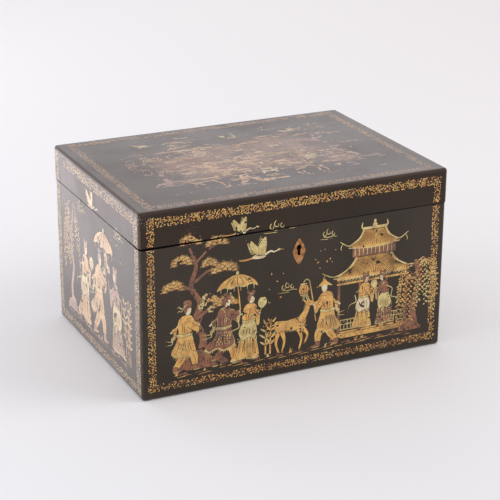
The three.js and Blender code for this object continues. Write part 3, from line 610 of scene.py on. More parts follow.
class Sheet:
    """One flat face's gilding. u runs to the right and v upwards, from the lower left corner."""

    def __init__(self, width, height, pitch, seed):
        self.width, self.height, self.pitch = width, height, pitch
        self.shape = (int(height / pitch) + 2, int(width / pitch) + 2)
        self.field = {tone: np.full(self.shape, FAR_MM, np.float32) for tone in TONES}
        self.random = np.random.default_rng(seed)

    def window(self, points, margin):
        low = np.floor((points.min(0) - margin) / self.pitch).astype(int)
        high = np.ceil((points.max(0) + margin) / self.pitch).astype(int) + 1
        u0, v0 = np.maximum(low, 0)
        u1, v1 = np.minimum(high, (self.shape[1], self.shape[0]))
        if u1 <= u0 or v1 <= v0:
            return None
        u, v = np.meshgrid(np.arange(u0, u1) * self.pitch, np.arange(v0, v1) * self.pitch)
        u, v = u.astype(np.float32), v.astype(np.float32)
        return (slice(v0, v1), slice(u0, u1)), u, v

    def lay(self, area, distance, tone, gap):
        """Adds a shape, and keeps the other tones a gap away from it."""
        if gap is not None:
            for field in self.field.values():
                np.maximum(field[area], gap - distance, out=field[area])
        if tone:
            field = self.field[tone]
            np.minimum(field[area], distance, out=field[area])

    def blob(self, points, tone, gap=GAP):
        p = np.asarray(points, float)
        found = self.window(p, EDGE_REACH)
        if not found:
            return
        area, u, v = found
        ring = np.concatenate([p, p[:1]])
        distance = line_distance(u, v, ring, np.zeros(len(ring)))
        inside = np.zeros(u.shape, bool)
        for (ax, ay), (bx, by) in zip(ring, ring[1:]):
            low, high = min(ay, by), max(ay, by)
            rows = slice(*np.searchsorted(v[:, 0], (low, high)))
            if rows.stop > rows.start:
                inside[rows] ^= u[rows] < ax + (v[rows] - ay) * (bx - ax) / (by - ay)
        self.lay(area, np.where(inside, -distance, distance).astype(np.float32), tone, gap)

    def stroke(self, points, radii, tone, gap=None):
        p = np.asarray(points, float)
        found = self.window(p, float(np.max(radii)) + STROKE_REACH)
        if found:
            area, u, v = found
            self.lay(area, line_distance(u, v, p, radii).astype(np.float32), tone, gap)

    def wear(self, base, cell, *patches, stretch=(1, 1)):
        """Rubs away ragged spots of about cell millimetres: a base share of the gilding, and more or less in
        soft patches, each given by its middle, its reaches and its share."""
        v, u = np.mgrid[: self.shape[0], : self.shape[1]] * self.pitch
        lost = np.full(self.shape, base)
        for middle_u, middle_v, reach_u, reach_v, more in patches:
            lost += more * np.exp(-(((u - middle_u) / reach_u) ** 2) - ((v - middle_v) / reach_v) ** 2)
        noise = (1 - FINE_SHARE) * soft_noise(self.shape, cell / self.pitch, self.random, stretch)
        noise += FINE_SHARE * soft_noise(self.shape, cell / FINE_WEAR / self.pitch, self.random, stretch)
        reach = (noise - (1 - lost)) * cell * WEAR_DEPTH
        for field in self.field.values():
            np.maximum(field, reach, out=field)


def line_distance(u, v, points, radii):
    """The distance from each sample to a line whose half width changes from point to point."""
    start, run = points[:-1].astype(np.float32), np.diff(points, axis=0).astype(np.float32)
    length = np.maximum((run**2).sum(1), 1e-9)
    radii = np.asarray(radii, np.float32)
    best = np.full(u.shape, 1e3, np.float32)
    batch = max(1, SAMPLE_BATCH // u.size)
    for i in range(0, len(run), batch):
        part = slice(i, i + batch)
        du, dv = u[..., None] - start[part, 0], v[..., None] - start[part, 1]
        t = np.clip((du * run[part, 0] + dv * run[part, 1]) / length[part], 0, 1)
        du -= t * run[part, 0]
        dv -= t * run[part, 1]
        radius = radii[:-1][part] + np.diff(radii)[part] * t
        np.minimum(best, (np.sqrt(du * du + dv * dv) - radius).min(-1), out=best)
    return best


class Pen:
    """Draws on a sheet from a place of its own: moved, scaled, turned or mirrored."""

    def __init__(self, sheet, u=0.0, v=0.0, scale=1.0, turn=0.0, flip=False):
        self.sheet = sheet
        self.scale = scale
        self.random = sheet.random
        c, s = math.cos(math.radians(turn)) * scale, math.sin(math.radians(turn)) * scale
        self.matrix = np.array([[c, -s], [s, c]]) @ np.diag([-1.0 if flip else 1.0, 1.0])
        self.origin = np.array([u, v], float)

    def to_sheet(self, points):
        return np.asarray(points, float) @ self.matrix.T + self.origin

    def at(self, u, v, scale=1.0, turn=0.0, flip=False):
        child = Pen(self.sheet, 0, 0, scale, turn, flip)
        child.matrix = self.matrix @ child.matrix
        child.origin = self.to_sheet([(u, v)])[0]
        child.scale = self.scale * scale
        return child

    def blob(self, points, tone="gold", gap=GAP, round_off=True, rim=0.0):
        """A filled shape. rim is the width of a pale brush line along its edge."""
        p = self.to_sheet(points)
        p = smooth(p, True) if round_off else p
        self.sheet.blob(p, tone, gap)
        if rim:
            ring = np.concatenate([p, p[:1]])
            waver = 0.6 + 0.4 * np.sin(np.arange(len(ring)) * 0.45 + self.random.uniform(0, 6))
            self.sheet.stroke(ring, rim * self.scale / 2 * waver, "pale")

    def oval(self, u, v, ru, rv, tone="gold", gap=GAP):
        a = np.linspace(0, 2 * math.pi, OVAL_POINTS + 1)[:-1]
        self.blob(np.stack([u + ru * np.cos(a), v + rv * np.sin(a)], 1), tone, gap)

    def dot(self, u, v, radius, tone="pale", gap=GAP):
        self.oval(u, v, radius, radius, tone, gap)

    def brush(self, points, ends, fade, straight=False):
        """A line's points on the sheet, and the share of its width at each. ends gives the shares at its two
        ends, and fade how late it narrows towards the last one."""
        p = self.to_sheet(points)
        if not straight and len(p) > 2:
            p = smooth(p)
        t = np.linspace(0, 1, len(p))
        widening = np.minimum(ends[0] + (1 - ends[0]) * t * 4, 1)
        return p, widening * np.minimum(ends[1] + (1 - ends[1]) * (1 - t) * fade, 1)

    def line(self, points, width=0.6, tone="pale", ends=(0.4, 0.2), straight=False):
        p, shape = self.brush(points, ends, 2, straight)
        self.sheet.stroke(p, width * self.scale / 2 * shape, tone)

    def limb(self, points, widths, tone="gold", gap=GAP):
        """A thick line with its own width at each point."""
        p = smooth(self.to_sheet(points))
        at = np.linspace(0, len(widths) - 1, len(p))
        self.sheet.stroke(p, np.interp(at, range(len(widths)), widths) * self.scale / 2, tone, gap)

    def cut(self, points, width=0.45, ends=(0.3, 0.3)):
        """A fine line of bare lacquer through whatever is there."""
        p, shape = self.brush(points, ends, 4)
        found = self.sheet.window(p, width)
        if found:
            area, u, v = found
            distance = line_distance(u, v, p, width * max(self.scale, 0.8) / 2 * shape)
            self.sheet.lay(area, distance.astype(np.float32), None, 0)


def outlines(field, pitch, tolerance, least):
    """The closed outlines of a field's inside, anticlockwise, with holes clockwise, as arrays of points."""
    inside = field < 0
    inside[[0, -1], :] = False
    inside[:, [0, -1]] = False
    field = np.where(inside, field, np.maximum(field, 1e-4))
    rows, columns = field.shape
    case = inside[:-1, :-1] + 2 * inside[:-1, 1:] + 4 * inside[1:, 1:] + 8 * inside[1:, :-1]
    v, u = np.nonzero((case > 0) & (case < 15))
    kind = case[v, u]
    flat = rows * columns
    edges = [v * columns + u, flat + v * columns + u + 1, (v + 1) * columns + u, flat + v * columns + u]
    following = np.full(2 * flat, -1)
    for value, pairs in OUTLINE_CASES.items():
        here = kind == value
        for start, end in pairs:
            following[edges[start][here]] = edges[end][here]
    starts = np.nonzero(following >= 0)[0]
    first = starts % flat
    upright = starts >= flat
    second = np.where(upright, first + columns, first + 1)
    values = field.ravel()
    a, b = values[first], values[second]
    t = a / (a - b)
    pu = (first % columns) + np.where(upright, 0, t)
    pv = (first // columns) + np.where(upright, t, 0)
    order = np.full(2 * flat, -1)
    order[starts] = np.arange(len(starts))
    chain = order[following[starts]].tolist()
    points = np.stack([pu, pv], 1) * pitch
    used = np.zeros(len(starts), bool)
    loops = []
    for start in range(len(starts)):
        if used[start]:
            continue
        loop, at = [], start
        while not used[at]:
            used[at] = True
            loop.append(at)
            at = chain[at]
        p = points[loop]
        q = np.roll(p, -1, 0)
        if abs((p[:, 0] * q[:, 1] - p[:, 1] * q[:, 0]).sum()) / 2 > least:
            p = simplified(p, tolerance)
            if len(p) > 2:
                loops.append(p)
    return loops


def simplified(loop, tolerance):
    """A closed outline without the points that lie within tolerance of a straight run."""
    far = int(((loop - loop[0]) ** 2).sum(1).argmax())
    p = np.concatenate([loop, loop[:1]])
    keep = np.zeros(len(p), bool)
    keep[[0, far, -1]] = True
    stack = [(0, far), (far, len(p) - 1)]
    while stack:
        a, b = stack.pop()
        if b - a < 2:
            continue
        run = p[b] - p[a]
        length = math.hypot(*run)
        gap = p[a + 1 : b] - p[a]
        off = np.abs(gap[:, 0] * run[1] - gap[:, 1] * run[0]) / length if length > 1e-9 else np.hypot(*gap.T)
        worst = int(off.argmax())
        if off[worst] > tolerance:
            middle = a + 1 + worst
            keep[middle] = True
            stack += [(a, middle), (middle, b)]
    return p[keep][:-1]


def blank(width, height, seed):
    """A new sheet and a pen at its lower left corner."""
    sheet = Sheet(width, height, PITCH_MM, seed)
    return sheet, Pen(sheet)


# Motifs of the pictures, in millimetres about a pen's own place. Figures stand on v = 0, facing +u.


def track(points):
    """A smooth line's length, and a function that gives the point at a distance along it."""
    p = smooth(points, steps=8)
    along = np.concatenate([[0], np.cumsum(np.hypot(*np.diff(p, axis=0).T))])
    return along[-1], lambda s: np.array([np.interp(s, along, axis) for axis in p.T])


def about(place, *steps):
    """Points given as steps from one place."""
    return [np.add(place, step) for step in steps]


def fringe(pen, points, length, every):
    """Small pointed strokes that stand off a line to its left."""
    lean = 0.3
    whole, point = track(points)
    for s in np.arange(every / 2, whole, every):
        at = point(s)
        ahead = point(s + 0.5) - at
        run = ahead / max(np.hypot(*ahead), 1e-6)
        out = np.array([-run[1], run[0]])
        reach = length * pen.random.uniform(0.6, 1.3)
        middle = at + out * reach * 0.5 + run * reach * lean * 0.1
        pen.line([at - out * 0.3, middle, at + out * reach + run * reach * lean], 0.5, ends=(1, 0.2))


def folds(pen, top, bottom, count, bend=1.5):
    """Dark fold lines of a garment, from points near its top to points along its foot."""
    for i in range(count):
        t = (i + 0.5) / count
        a, b = (np.array(first) * (1 - t) + np.array(last) * t for first, last in (top, bottom))
        start = 0.1 + 0.35 * pen.random.random()
        middle = (a + b) / 2 + (bend * pen.random.uniform(-1, 1), 0)
        pen.cut([a + (b - a) * start, middle, b], 0.5)
        if i % 2:
            pen.line(about((0.8, 0), a + (b - a) * (start + 0.1), middle, b), 0.45)


def roundels(pen, low, high, size):
    """Small pattern dots scattered over cloth."""
    for u in np.arange(low[0], high[0], size * 3):
        for v in np.arange(low[1], high[1], size * 3):
            place = (u + pen.random.uniform(-1, 1) * size, v + pen.random.uniform(-1, 1) * size)
            pen.dot(*place, size * 0.62, gap=None)


def ribbon(pen, points, width):
    pen.line(points, width, ends=(0.8, 0.15))


def sleeve(pen, shoulder, hand, wide, tone, drop):
    """An arm in a wide sleeve whose mouth hangs below the wrist."""
    s, h = np.array(shoulder, float), np.array(hand, float)
    run = h - s
    length = np.hypot(*run)
    elbow = (s + h) / 2 + (0, -0.18 * length)
    wrist = s + run * 0.86
    mouth = wrist + (-0.18 * run[0] / length * drop, -drop)
    pen.blob([s + (-wide * 0.4, wide * 0.25), (s + elbow) / 2 + (0, wide * 0.5), elbow + (0, wide * 0.4),
              *about(wrist, (0, 1.6), (0.8, -1.2)), *about(mouth, (1.2, 0), (-1, 0.6)),
              elbow + (-1, -wide * 0.7), s + (-wide * 0.5, -wide * 0.5)], tone, rim=0.5)
    pen.line([*about(wrist, (0, 1.4), (0.7, -1)), mouth + (1, 0.3)], 0.9, ends=(1, 0.6))
    pen.cut([s + (0.5, -0.5), elbow + (0, -0.4), wrist + (-1, -1.5)], 0.5)
    pen.cut([elbow + (-0.5, -1.5), mouth + (-0.2, 1.6)])
    pen.limb([wrist + run / length * 0.5, h], [1.6, 1.7], "cream", 0.3)


def head(pen, style):
    """A plain head with hair or a hat, and no face."""
    pen.blob([(-2.6, 0), (-2.2, 3), (0, 4.2), (2.3, 3), (2.7, 0.4), (1.7, -2.8), (-0.4, -3.8), (-2.2, -2.4)],
             "cream", 0.4)
    if style == "hat":
        pen.blob([(-7.4, 1.2), (-3.4, 4.4), (0, 7.6), (3.2, 4.4), (7.4, 1), (2.5, 2.2), (-2.5, 2.4)],
                 gap=0.35)
        for x in (-4.6, -2, 0.6, 3.2):
            pen.cut([(x, 2.6), (x * 0.25, 6.6)], 0.4)
        pen.line([(-7, 1.1), (-2.5, 2.3), (2.5, 2.2), (7, 0.9)])
        return
    pen.blob([(-3.4, -1), (-3.3, 3), (-0.6, 5.2), (2.4, 4), (2.2, 2.4), (-0.4, 2), (-1.3, -0.4), (-2.2, -2)],
             "brown", 0.3)
    if style == "knot":
        pen.oval(-1.2, 6.6, 1.9, 1.5, "brown", 0.3)
        pen.line([(-4.4, 5.6), (2.4, 7)], 0.5)
        pen.dot(2.6, 7.1, 0.7, gap=None)
    elif style == "cap":
        pen.blob([(-3.2, 3), (-3.6, 7.8), (0, 8.8), (3, 7.4), (2.8, 3.6), (0, 4.2)], "brown", 0.35)
        pen.line([(-3, 4), (0, 5), (2.8, 4.4)])
        ribbon(pen, [(-3, 4), (-6, 2.4), (-7.6, 4.4), (-11, 1.6)], 0.7)
        ribbon(pen, [(-3, 3.4), (-5.4, 0), (-8, 0.6), (-10, -3)], 0.6)
    else:
        for side in (-1, 1):
            pen.oval(-0.6 + side * 2.2, 5.6, 1.5, 1.7, "brown", 0.3)
        pen.line([(-3.4, 3.6), (-0.4, 4.6), (2.2, 3.6)])


def leg(pen, hip, foot, tone, lift=0.0):
    h, f = np.array(hip, float), np.array(foot, float)
    knee = (h + f) / 2 + (2.6, 1)
    pen.limb([h, knee, f + (0, 3)], [8, 7, 4.2], tone)
    pen.cut([h + (1, -2), knee + (0.6, -1), f + (0.4, 5)], 0.4)
    pen.line(about(f, (-2, 5.6), (0, 5), (2.2, 5.8)), 0.8)
    pen.blob(about(f, (-1.9, 4.2), (1.7, 4.2), (2.4, 2), (6.2, 1.3 + lift), (6.4, 0.2 + lift), (1, -0.3),
                   (-1.8, 0)), "brown", 0.4)
    pen.line(about(f, (-1.6, 0), (2, 0), (6.2, 0.5 + lift)))


def walker(pen, holds, reach=(13, 36), style="knot", coat="gold", flutter=6):
    """A figure in a belted coat over trousers, walking."""
    neck, waist = np.array((2, 46.0)), np.array((0.8, 31.5))
    leg(pen, (-1.5, 22), (-8, 0.4), coat, 0.8)
    sleeve(pen, neck + (-4, -4), (-11, 35), 6.5, coat, 7)
    leg(pen, (2, 22), (9, 0.2), "gold")
    tail = -9 - flutter
    hem = [(9.6, 17), (6, 14), (0, 12.6), (-5, 15), (tail + 4, 13), (tail, 17)]
    pen.blob([*about(neck, (-3, 1.4), (-6.6, -2.4)), *about(waist, (-5.6, 2), (-8, -7)), *hem[::-1],
              *about(waist, (6.8, -5), (5.4, 2)), *about(neck, (6, -3), (2.8, 1.4))], coat, rim=0.55)
    folds(pen, about(waist, (-5, -2), (5, -2)), ((tail + 2, 15), (8.4, 15.6)), 7)
    folds(pen, about(neck, (-5, -3), (3, -3)), about(waist, (-4, 1), (3, 1)), 3, 0.8)
    roundels(pen, waist + (-7, -14), waist + (7, -4), 0.8)
    fringe(pen, [(9.6, 17), (6, 13.6), (0, 12.4), (-5, 14.6), (tail + 4, 12.6), (tail, 16.6)], 1.8, 1.7)
    pen.line(hem, 0.9, ends=(0.6, 0.6))
    pen.limb(about(waist, (-5.6, 0.2), (0, -0.8), (5.4, 0.4)), [2.1, 2.3, 2.1], "pale", 0.3)
    for shift in (0, 2.2):
        ribbon(pen, about(waist, (-5, -0.5), (-9 - shift, 1 - shift), (-11, -4 - shift),
                          (-17 - flutter * 0.6, -2.5 - 2 * shift)), 0.9)
    pen.line([*about(neck, (-2.6, 1), (0.8, -5)), waist + (1.4, 1.6)], 0.8)
    pen.line(about(neck, (2.4, 1), (0.6, -5)), 0.7)
    holds(pen.at(*reach))
    sleeve(pen, neck + (3.6, -3.4), reach, 7, coat, 8)
    head(pen.at(3.5, 51.5), style)


def lady(pen, holds, reach=(10, 37), coat="gold", train=9, under="pale"):
    """A figure in a long robe that reaches the ground and trails behind."""
    neck, waist = np.array((2, 46.0)), np.array((0.4, 33.0))
    pen.blob([waist + (-4.4, 0), (-7.5, 16), (-9 - train, 3.4), (-10 - train, 0.6), (-5, 1.2), (2, 0),
              (9, 0.6), (9.4, 4), (7, 17), waist + (4.2, 0)], coat, rim=0.55)
    folds(pen, about(waist, (-3.6, -2), (3.6, -2)), ((-8 - train, 1.4), (8.6, 1.4)), 8, 1.2)
    roundels(pen, (-8, 4), (8, 22), 0.85)
    pen.line([(9.4, 1), (2, 0.5), (-5, 1.6), (-10 - train, 1)], 1.1, ends=(0.8, 0.5))
    fringe(pen, [(9.6, 3.2), (2, 2.6), (-5, 3.4), (-9 - train, 3)], 1.5, 2)
    pen.blob([*about(waist, (-4.8, -1), (-8.6, -10)), (-4, 17), (1, 19.4), (5.4, 17),
              *about(waist, (7, -9), (4.8, -1))], under, 0.4)
    folds(pen, about(waist, (-4, -2), (4, -2)), ((-6.6, 19), (5.8, 19)), 4, 0.6)
    pen.blob([*about(neck, (-2.8, 1.2), (-6, -3)), *about(waist, (-4.8, 0), (4.8, 0)),
              *about(neck, (5.6, -3), (2.6, 1.2))], coat)
    folds(pen, about(neck, (-4, -3), (4, -3)), about(waist, (-3, 1), (3, 1)), 3, 0.6)
    pen.limb(about(waist, (-4.8, 0), (0, -0.6), (4.8, 0)), [1.8, 2, 1.8], "pale", 0.3)
    ribbon(pen, [waist + (1, -1), (2.4, 24), (1, 18), (3.4, 9)], 0.9)
    ribbon(pen, about(neck, (-5, -5), (-11, -9), (-10, -17), (-17, -20), (-19, -28)), 1)
    pen.line([*about(neck, (-2.2, 1), (0.6, -4.6)), waist + (1, 1.5)], 0.8)
    holds(pen.at(*reach))
    sleeve(pen, neck + (3, -3.6), reach, 6, coat, 10)
    head(pen.at(3, 51.3), "buns")


# Things that a hand holds, drawn from the hand


def parasol(pen):
    pen.line([(0, -5), (-1.5, 12), (-3, 24)], 0.9, "gold", straight=True, ends=(1, 1))
    top = pen.at(-3, 24)
    rim = [(-17, -4), (-11, -2), (-5.6, -3.6), (0, -2), (5.6, -3.6), (11, -2), (17, -4)]
    top.blob([rim[0], (-14, 1), (-7.5, 5.2), (0, 7), (7.5, 5.2), (14, 1), *rim[:0:-1]])
    for x in (-11, -5.6, 0, 5.6, 11):
        top.cut([(x, -2.6), (x * 0.62, 3), (x * 0.1, 6.6)], 0.5)
    for x in (-14, -8.4, -2.8, 2.8, 8.4, 14):
        top.line([(x, -3), (x * 0.6, 2.6), (x * 0.14, 6)], 0.5, ends=(0.8, 0.3))
        top.line([(x * 0.99, -3.4), (x, -6.6)], ends=(1, 0.6))
    top.line(rim, 0.9, ends=(0.8, 0.8))
    top.oval(0, 8.4, 1.2, 1.6, "pale", 0.3)


def lantern(pen):
    pen.line([(-2, -14), (0, 0), (4.2, 22)], 0.9, "gold", straight=True, ends=(1, 1))
    pen.line([(4.2, 22), (7, 23.6), (9.4, 21.4)], 0.8, ends=(1, 1))
    hung = pen.at(9.4, 15)
    hung.oval(0, 0, 4.3, 5.2)
    for x in (-2, 0, 2):
        hung.cut([(x * 0.7, 4.6), (x * 1.25, 0), (x * 0.7, -4.6)], 0.4)
    for v in (4.8, -4.8):
        hung.limb([(-2.4, v), (2.4, v)], [1.3, 1.3], "pale", 0.3)
    for x in (-1, 0, 1):
        hung.line([(x * 0.6, -5.4), (x, -10)], 0.5, ends=(1, 0.4))


def staff(pen):
    pen.line([(-3.4, -26), (0, 0), (1.4, 12), (4.6, 15), (2.6, 17.4)], 1.1, "gold", ends=(1, 0.7))
    pen.oval(-0.6, 9, 1.5, 1.3, "brown", 0.3)
    pen.oval(-0.9, 6.2, 2, 1.9, "brown", 0.2)


def fan(pen):
    pen.line([(0, -1), (1.4, 4)], 0.8, "gold", ends=(1, 1))
    pen.blob([(1, 4), (-1.6, 8), (0.2, 12.4), (4.6, 12.6), (6.2, 8.4), (3.6, 4.6)], "pale", 0.4)
    for x in (-0.6, 1.2, 3, 4.8):
        pen.cut([(1.8, 4.8), (x + 0.6, 11.4)], 0.35)


def spray(pen):
    """A cut branch with blossoms."""
    pen.line([(-1, -6), (0, 0), (3, 8), (2, 15), (6, 22)], 1, "brown", ends=(1, 0.3))
    pen.line([(2.4, 9), (7, 12), (10, 11)], 0.7, "brown")
    for u, v, size in ((6, 22, 1), (10, 11.4, 0.9), (1.4, 15, 0.8), (4.6, 17, 0.7)):
        blossom(pen.at(u, v, size), 2.1)


def tray(pen):
    pen.blob([(-6, 0), (6, 0), (5, -1.4), (-5, -1.4)], "pale", 0.3, False)
    for u, v in ((-3.4, 2), (0, 2.2), (3.4, 2), (-1.7, 4.8), (1.7, 4.8)):
        pen.dot(u, v, 1.7, "gold", 0.35)


def basket(pen):
    pen.line([(-5, -5), (-4, 1), (0, 3), (4, 1), (5, -5)], 0.8, "gold")
    pen.blob([(-6, -5), (6, -5), (4.6, -11.4), (-4.6, -11.4)], gap=0.4)
    for v in (-6.6, -8.4, -10):
        pen.cut([(-5.4, v), (5.4, v)], 0.35)
    for x in (-3.6, -1.2, 1.2, 3.6):
        pen.cut([(x * 1.1, -5.4), (x * 0.9, -11)], 0.35)
    for u, v in ((-4, -3.4), (0, -2.2), (4, -3.4)):
        blossom(pen.at(u, v, 0.8), 2.2)


# Plants, birds, beasts and buildings


def blossom(pen, size):
    for i in range(5):
        a = 2 * math.pi * i / 5 + 0.3
        pen.dot(size * math.cos(a), size * math.sin(a), size * 0.62, gap=0.22)
    pen.dot(0, 0, size * 0.42, "brown", 0.2)


def peony(pen):
    """A full flower of three rings of petals."""
    for count, radius, petal, tone in ((8, 7.4, 3.4, "gold"), (7, 4.6, 2.8, "pale"), (5, 2.2, 2, "gold")):
        for i in range(count):
            a = 2 * math.pi * (i + 0.4 * (count % 2)) / count + pen.random.uniform(-0.12, 0.12)
            petal_pen = pen.at(radius * math.cos(a), radius * math.sin(a), 1, math.degrees(a) - 90)
            petal_pen.blob([(-petal, 0), (-petal * 0.8, petal * 0.9), (0, petal * 0.75),
                            (petal * 0.8, petal * 0.9), (petal, 0), (0, -petal)], tone, 0.35)
            petal_pen.cut([(0, -petal * 0.6), (0, petal * 0.5)], 0.35)
    pen.dot(0, 0, 1.2, "brown", 0.25)


def leaf(pen, length, width, tone, veins):
    pen.blob([(0, 0), (length * 0.3, width * 0.5), (length * 0.7, width * 0.38), (length, 0),
              (length * 0.66, -width * 0.4), (length * 0.28, -width * 0.46)], tone, 0.35)
    if veins:
        pen.cut([(length * 0.06, 0), (length * 0.9, 0)], 0.4)
        for t in (0.3, 0.5, 0.7):
            for side in (-1, 1):
                pen.cut([(length * t, 0), (length * (t + 0.14), side * width * 0.34)], 0.3)


def branch_leaves(pen, points, size, every, tone="gold"):
    """Leaves set along both sides of a stem."""
    whole, point = track(points)
    for i, s in enumerate(np.arange(every * 0.6, whole, every)):
        du, dv = point(s + 0.5) - point(s - 0.5)
        side = 1 if i % 2 else -1
        turn = math.degrees(math.atan2(dv, du)) + side * pen.random.uniform(35, 65)
        grow = size * pen.random.uniform(0.75, 1.15)
        leaf(pen.at(*point(s), 1, turn), grow, grow * 0.46, tone, grow > 4)


def needle_fan(pen, radius):
    """A half round of needles over a dark core."""
    core = np.linspace(-0.1, math.pi + 0.1, 7)
    pen.blob([(0.56 * radius * math.cos(t), 0.56 * radius * math.sin(t)) for t in core], "brown", 0.4)
    for i, t in enumerate(np.linspace(-0.15, math.pi + 0.15, 15)):
        reach = radius * pen.random.uniform(0.95, 1.15)
        c, s = math.cos(t), math.sin(t)
        tone = "pale" if i % 3 == 1 else "gold"
        pen.line([(0.12 * radius * c, 0.12 * radius * s), (reach * c, reach * s)], 0.62, tone, (0.5, 0.35))


def pine_pad(pen, width, height):
    """A cloud of needles, built from overlapping fans."""
    radius = height * 0.52
    for level, share in ((0.62, 0.62), (0.3, 0.86), (0.0, 1.0)):
        half = (width / 2 - radius * 0.7) * share
        count = max(2, round(2 * half / (radius * 1.15)) + 1)
        for u in np.linspace(-half, half, count):
            jitter = pen.random.uniform(-0.4, 0.4)
            needle_fan(pen.at(u + jitter, height * level + jitter - 1.5 * (u / max(half, 1)) ** 2), radius)


def bark(pen, points, widths):
    pen.limb(points, widths, "brown")
    p = smooth(points, steps=10)
    w = np.interp(np.linspace(0, len(widths) - 1, len(p)), range(len(widths)), widths)
    for i in range(3, len(p) - 3, 3):
        run = p[i + 1] - p[i - 1]
        run = run / np.hypot(*run)
        out = np.array([-run[1], run[0]])
        side = pen.random.uniform(-0.3, 0.3) * w[i]
        c = p[i] + out * side
        half = w[i] * 0.26
        pen.cut([c - out * half, c - run * 0.7, c + out * half], 0.4)
        if i % 2:
            pen.line([c - out * half - run, c - run * 1.7, c + out * half - run], 0.4)


def pine(pen):
    trunk = [(0, 0), (2, 14), (-5, 30), (-1, 46), (-9, 62), (-4, 80), (-10, 96)]
    bark(pen, trunk, [8, 6.4, 6, 5, 4.4, 3.4, 2])
    for root in ((-9, -1), (9, -2), (4, -2)):
        pen.limb([(0, 3), (root[0] * 0.5, 0.6), root], [5, 3, 1], "brown", 0.3)
    for route, widths in (([(-4, 32), (10, 40), (22, 41)], [3.4, 2.6, 1.6]),
                          ([(-6, 58), (-18, 64), (-26, 62)], [3, 2.2, 1.4]),
                          ([(-5, 66), (8, 74), (21, 72)], [3, 2.2, 1.4]),
                          ([(-5, 82), (6, 92), (14, 96)], [2.4, 1.6, 1])):
        pen.limb(route, widths, "brown")
    for u, v, width, height in ((22, 41, 26, 8), (8, 46, 18, 7), (-25, 62, 22, 8), (22, 72, 26, 8.5),
                                (8, 79, 16, 7), (-17, 84, 20, 8), (15, 97, 22, 8), (-9, 101, 22, 9)):
        pine_pad(pen.at(u, v), width, height)


def willow(pen, height):
    bark(pen, [(0, 0), (-3, 20), (3, 42), (-1, 62), (5, height - 12)], [7, 5.4, 4.6, 3.4, 2])
    random = pen.random
    for i in range(17):
        start = np.array((random.uniform(-3, 7), height * random.uniform(0.6, 0.9)))
        spread = random.uniform(-24, 26)
        fall = random.uniform(20, 44)
        route = about(start, (0, 0), (spread * 0.45, 7), (spread * 0.85, 0), (spread, -fall * 0.5),
                      (spread * 0.98, -fall))
        pen.line(route, 0.6, "brown" if i % 3 else "gold")
        branch_leaves(pen, route[1:], 3.4, 2.5, "pale" if i % 2 else "gold")


def rock(pen, width, height):
    half = width / 2
    shape = [(half * u, height * v) for u, v in ((-1, 0), (-0.9, 0.5), (-0.45, 0.72), (-0.2, 1), (0.25, 0.86),
                                                 (0.4, 0.5), (0.85, 0.42), (1, 0))]
    pen.blob(shape, "brown")
    pen.line(shape[:-1], 0.9, "gold", ends=(0.4, 0.4))
    for i in range(int(width / 2.6)):
        u = -half * 0.8 + i * 2.6
        tip = height * pen.random.uniform(0.4, 0.7)
        pen.cut([(u, height * 0.1), (u + 0.8, height * 0.3), (u + 0.2, tip)])
        pen.line([(u + 1, height * 0.1), (u + 1.7, height * 0.34)], 0.45)


def tuft(pen, size, tone):
    for i in range(6):
        t = math.radians(pen.random.uniform(45, 135))
        reach = size * pen.random.uniform(0.6, 1.2)
        tip = (reach * math.cos(t) * 1.3, reach * math.sin(t))
        pen.line([(i * 0.4 - 1, 0), (tip[0] * 0.4, tip[1] * 0.7), tip], 0.5, tone, ends=(1, 0.2))


def bamboo(pen, height, stalks=3):
    random = pen.random
    for i in range(stalks):
        u = i * 4.6 - 4
        bend = random.uniform(-4, 6)
        route = [(u, 0), (u + bend * 0.3, height * 0.4), (u + bend, height * (0.8 + 0.1 * i))]
        pen.limb(route, [1.7, 1.5, 0.9], gap=0.35)
        for v in np.arange(7, height * 0.8, 8):
            pen.cut([(u - 2, v), (u + bend * v / height + 2, v)], 0.5)
        for v in np.arange(height * 0.25, height * 0.9, 6.5):
            for _ in range(3):
                turn = random.choice([-1, 1]) * random.uniform(25, 70)
                leaf_pen = pen.at(u + bend * v / height, v, 1, turn if turn > 0 else 180 + turn)
                leaf(leaf_pen, random.uniform(6, 9), 1.9, "pale" if random.random() < 0.5 else "gold", False)


def crane(pen):
    """A crane in flight, wings raised."""
    pen.blob([(-9, -1), (-3, 2.6), (4, 2.4), (8, 0.8), (4, -2.4), (-3, -2.6)], "cream")
    pen.limb([(6, 1), (12, 3.4), (15, 2), (20, 3.6)], [2.4, 1.7, 1.3, 1.2], "cream")
    pen.oval(20.6, 3.8, 1.6, 1.2, "cream", 0.2)
    pen.line([(21.8, 3.8), (26.4, 3)], 0.8, "gold", ends=(1, 0.3))
    for wing, tip in (((-1, 1.6), (-10, 17)), ((1.6, 1.4), (6, 19))):
        w, t = np.array(wing), np.array(tip)
        pen.blob([w + (-2.4, 0), (w + t) / 2 + (-4.4, 1), t, (w + t) / 2 + (3.4, 0), w + (3.4, 0)], "pale")
        for k in np.linspace(0.2, 0.95, 8):
            root = w + (t - w) * k
            feather = about(root, (0, 0), (-5.4 + 2 * k, -1.6), (-8.4 + 3 * k, -0.6 + 3.4 * k))
            pen.line(feather, 0.9, ends=(1, 0.3))
            pen.cut(about(root, (0.6, -0.8), (-4, -2.2)), 0.35)
    for v in (-0.6, -1.6):
        pen.line([(-8, v), (-15, v - 1), (-22, v - 0.4)], 0.7, "gold", ends=(1, 0.6))
    pen.cut([(-6, 0.4), (0, 1.2), (5, 0.6)], 0.4)


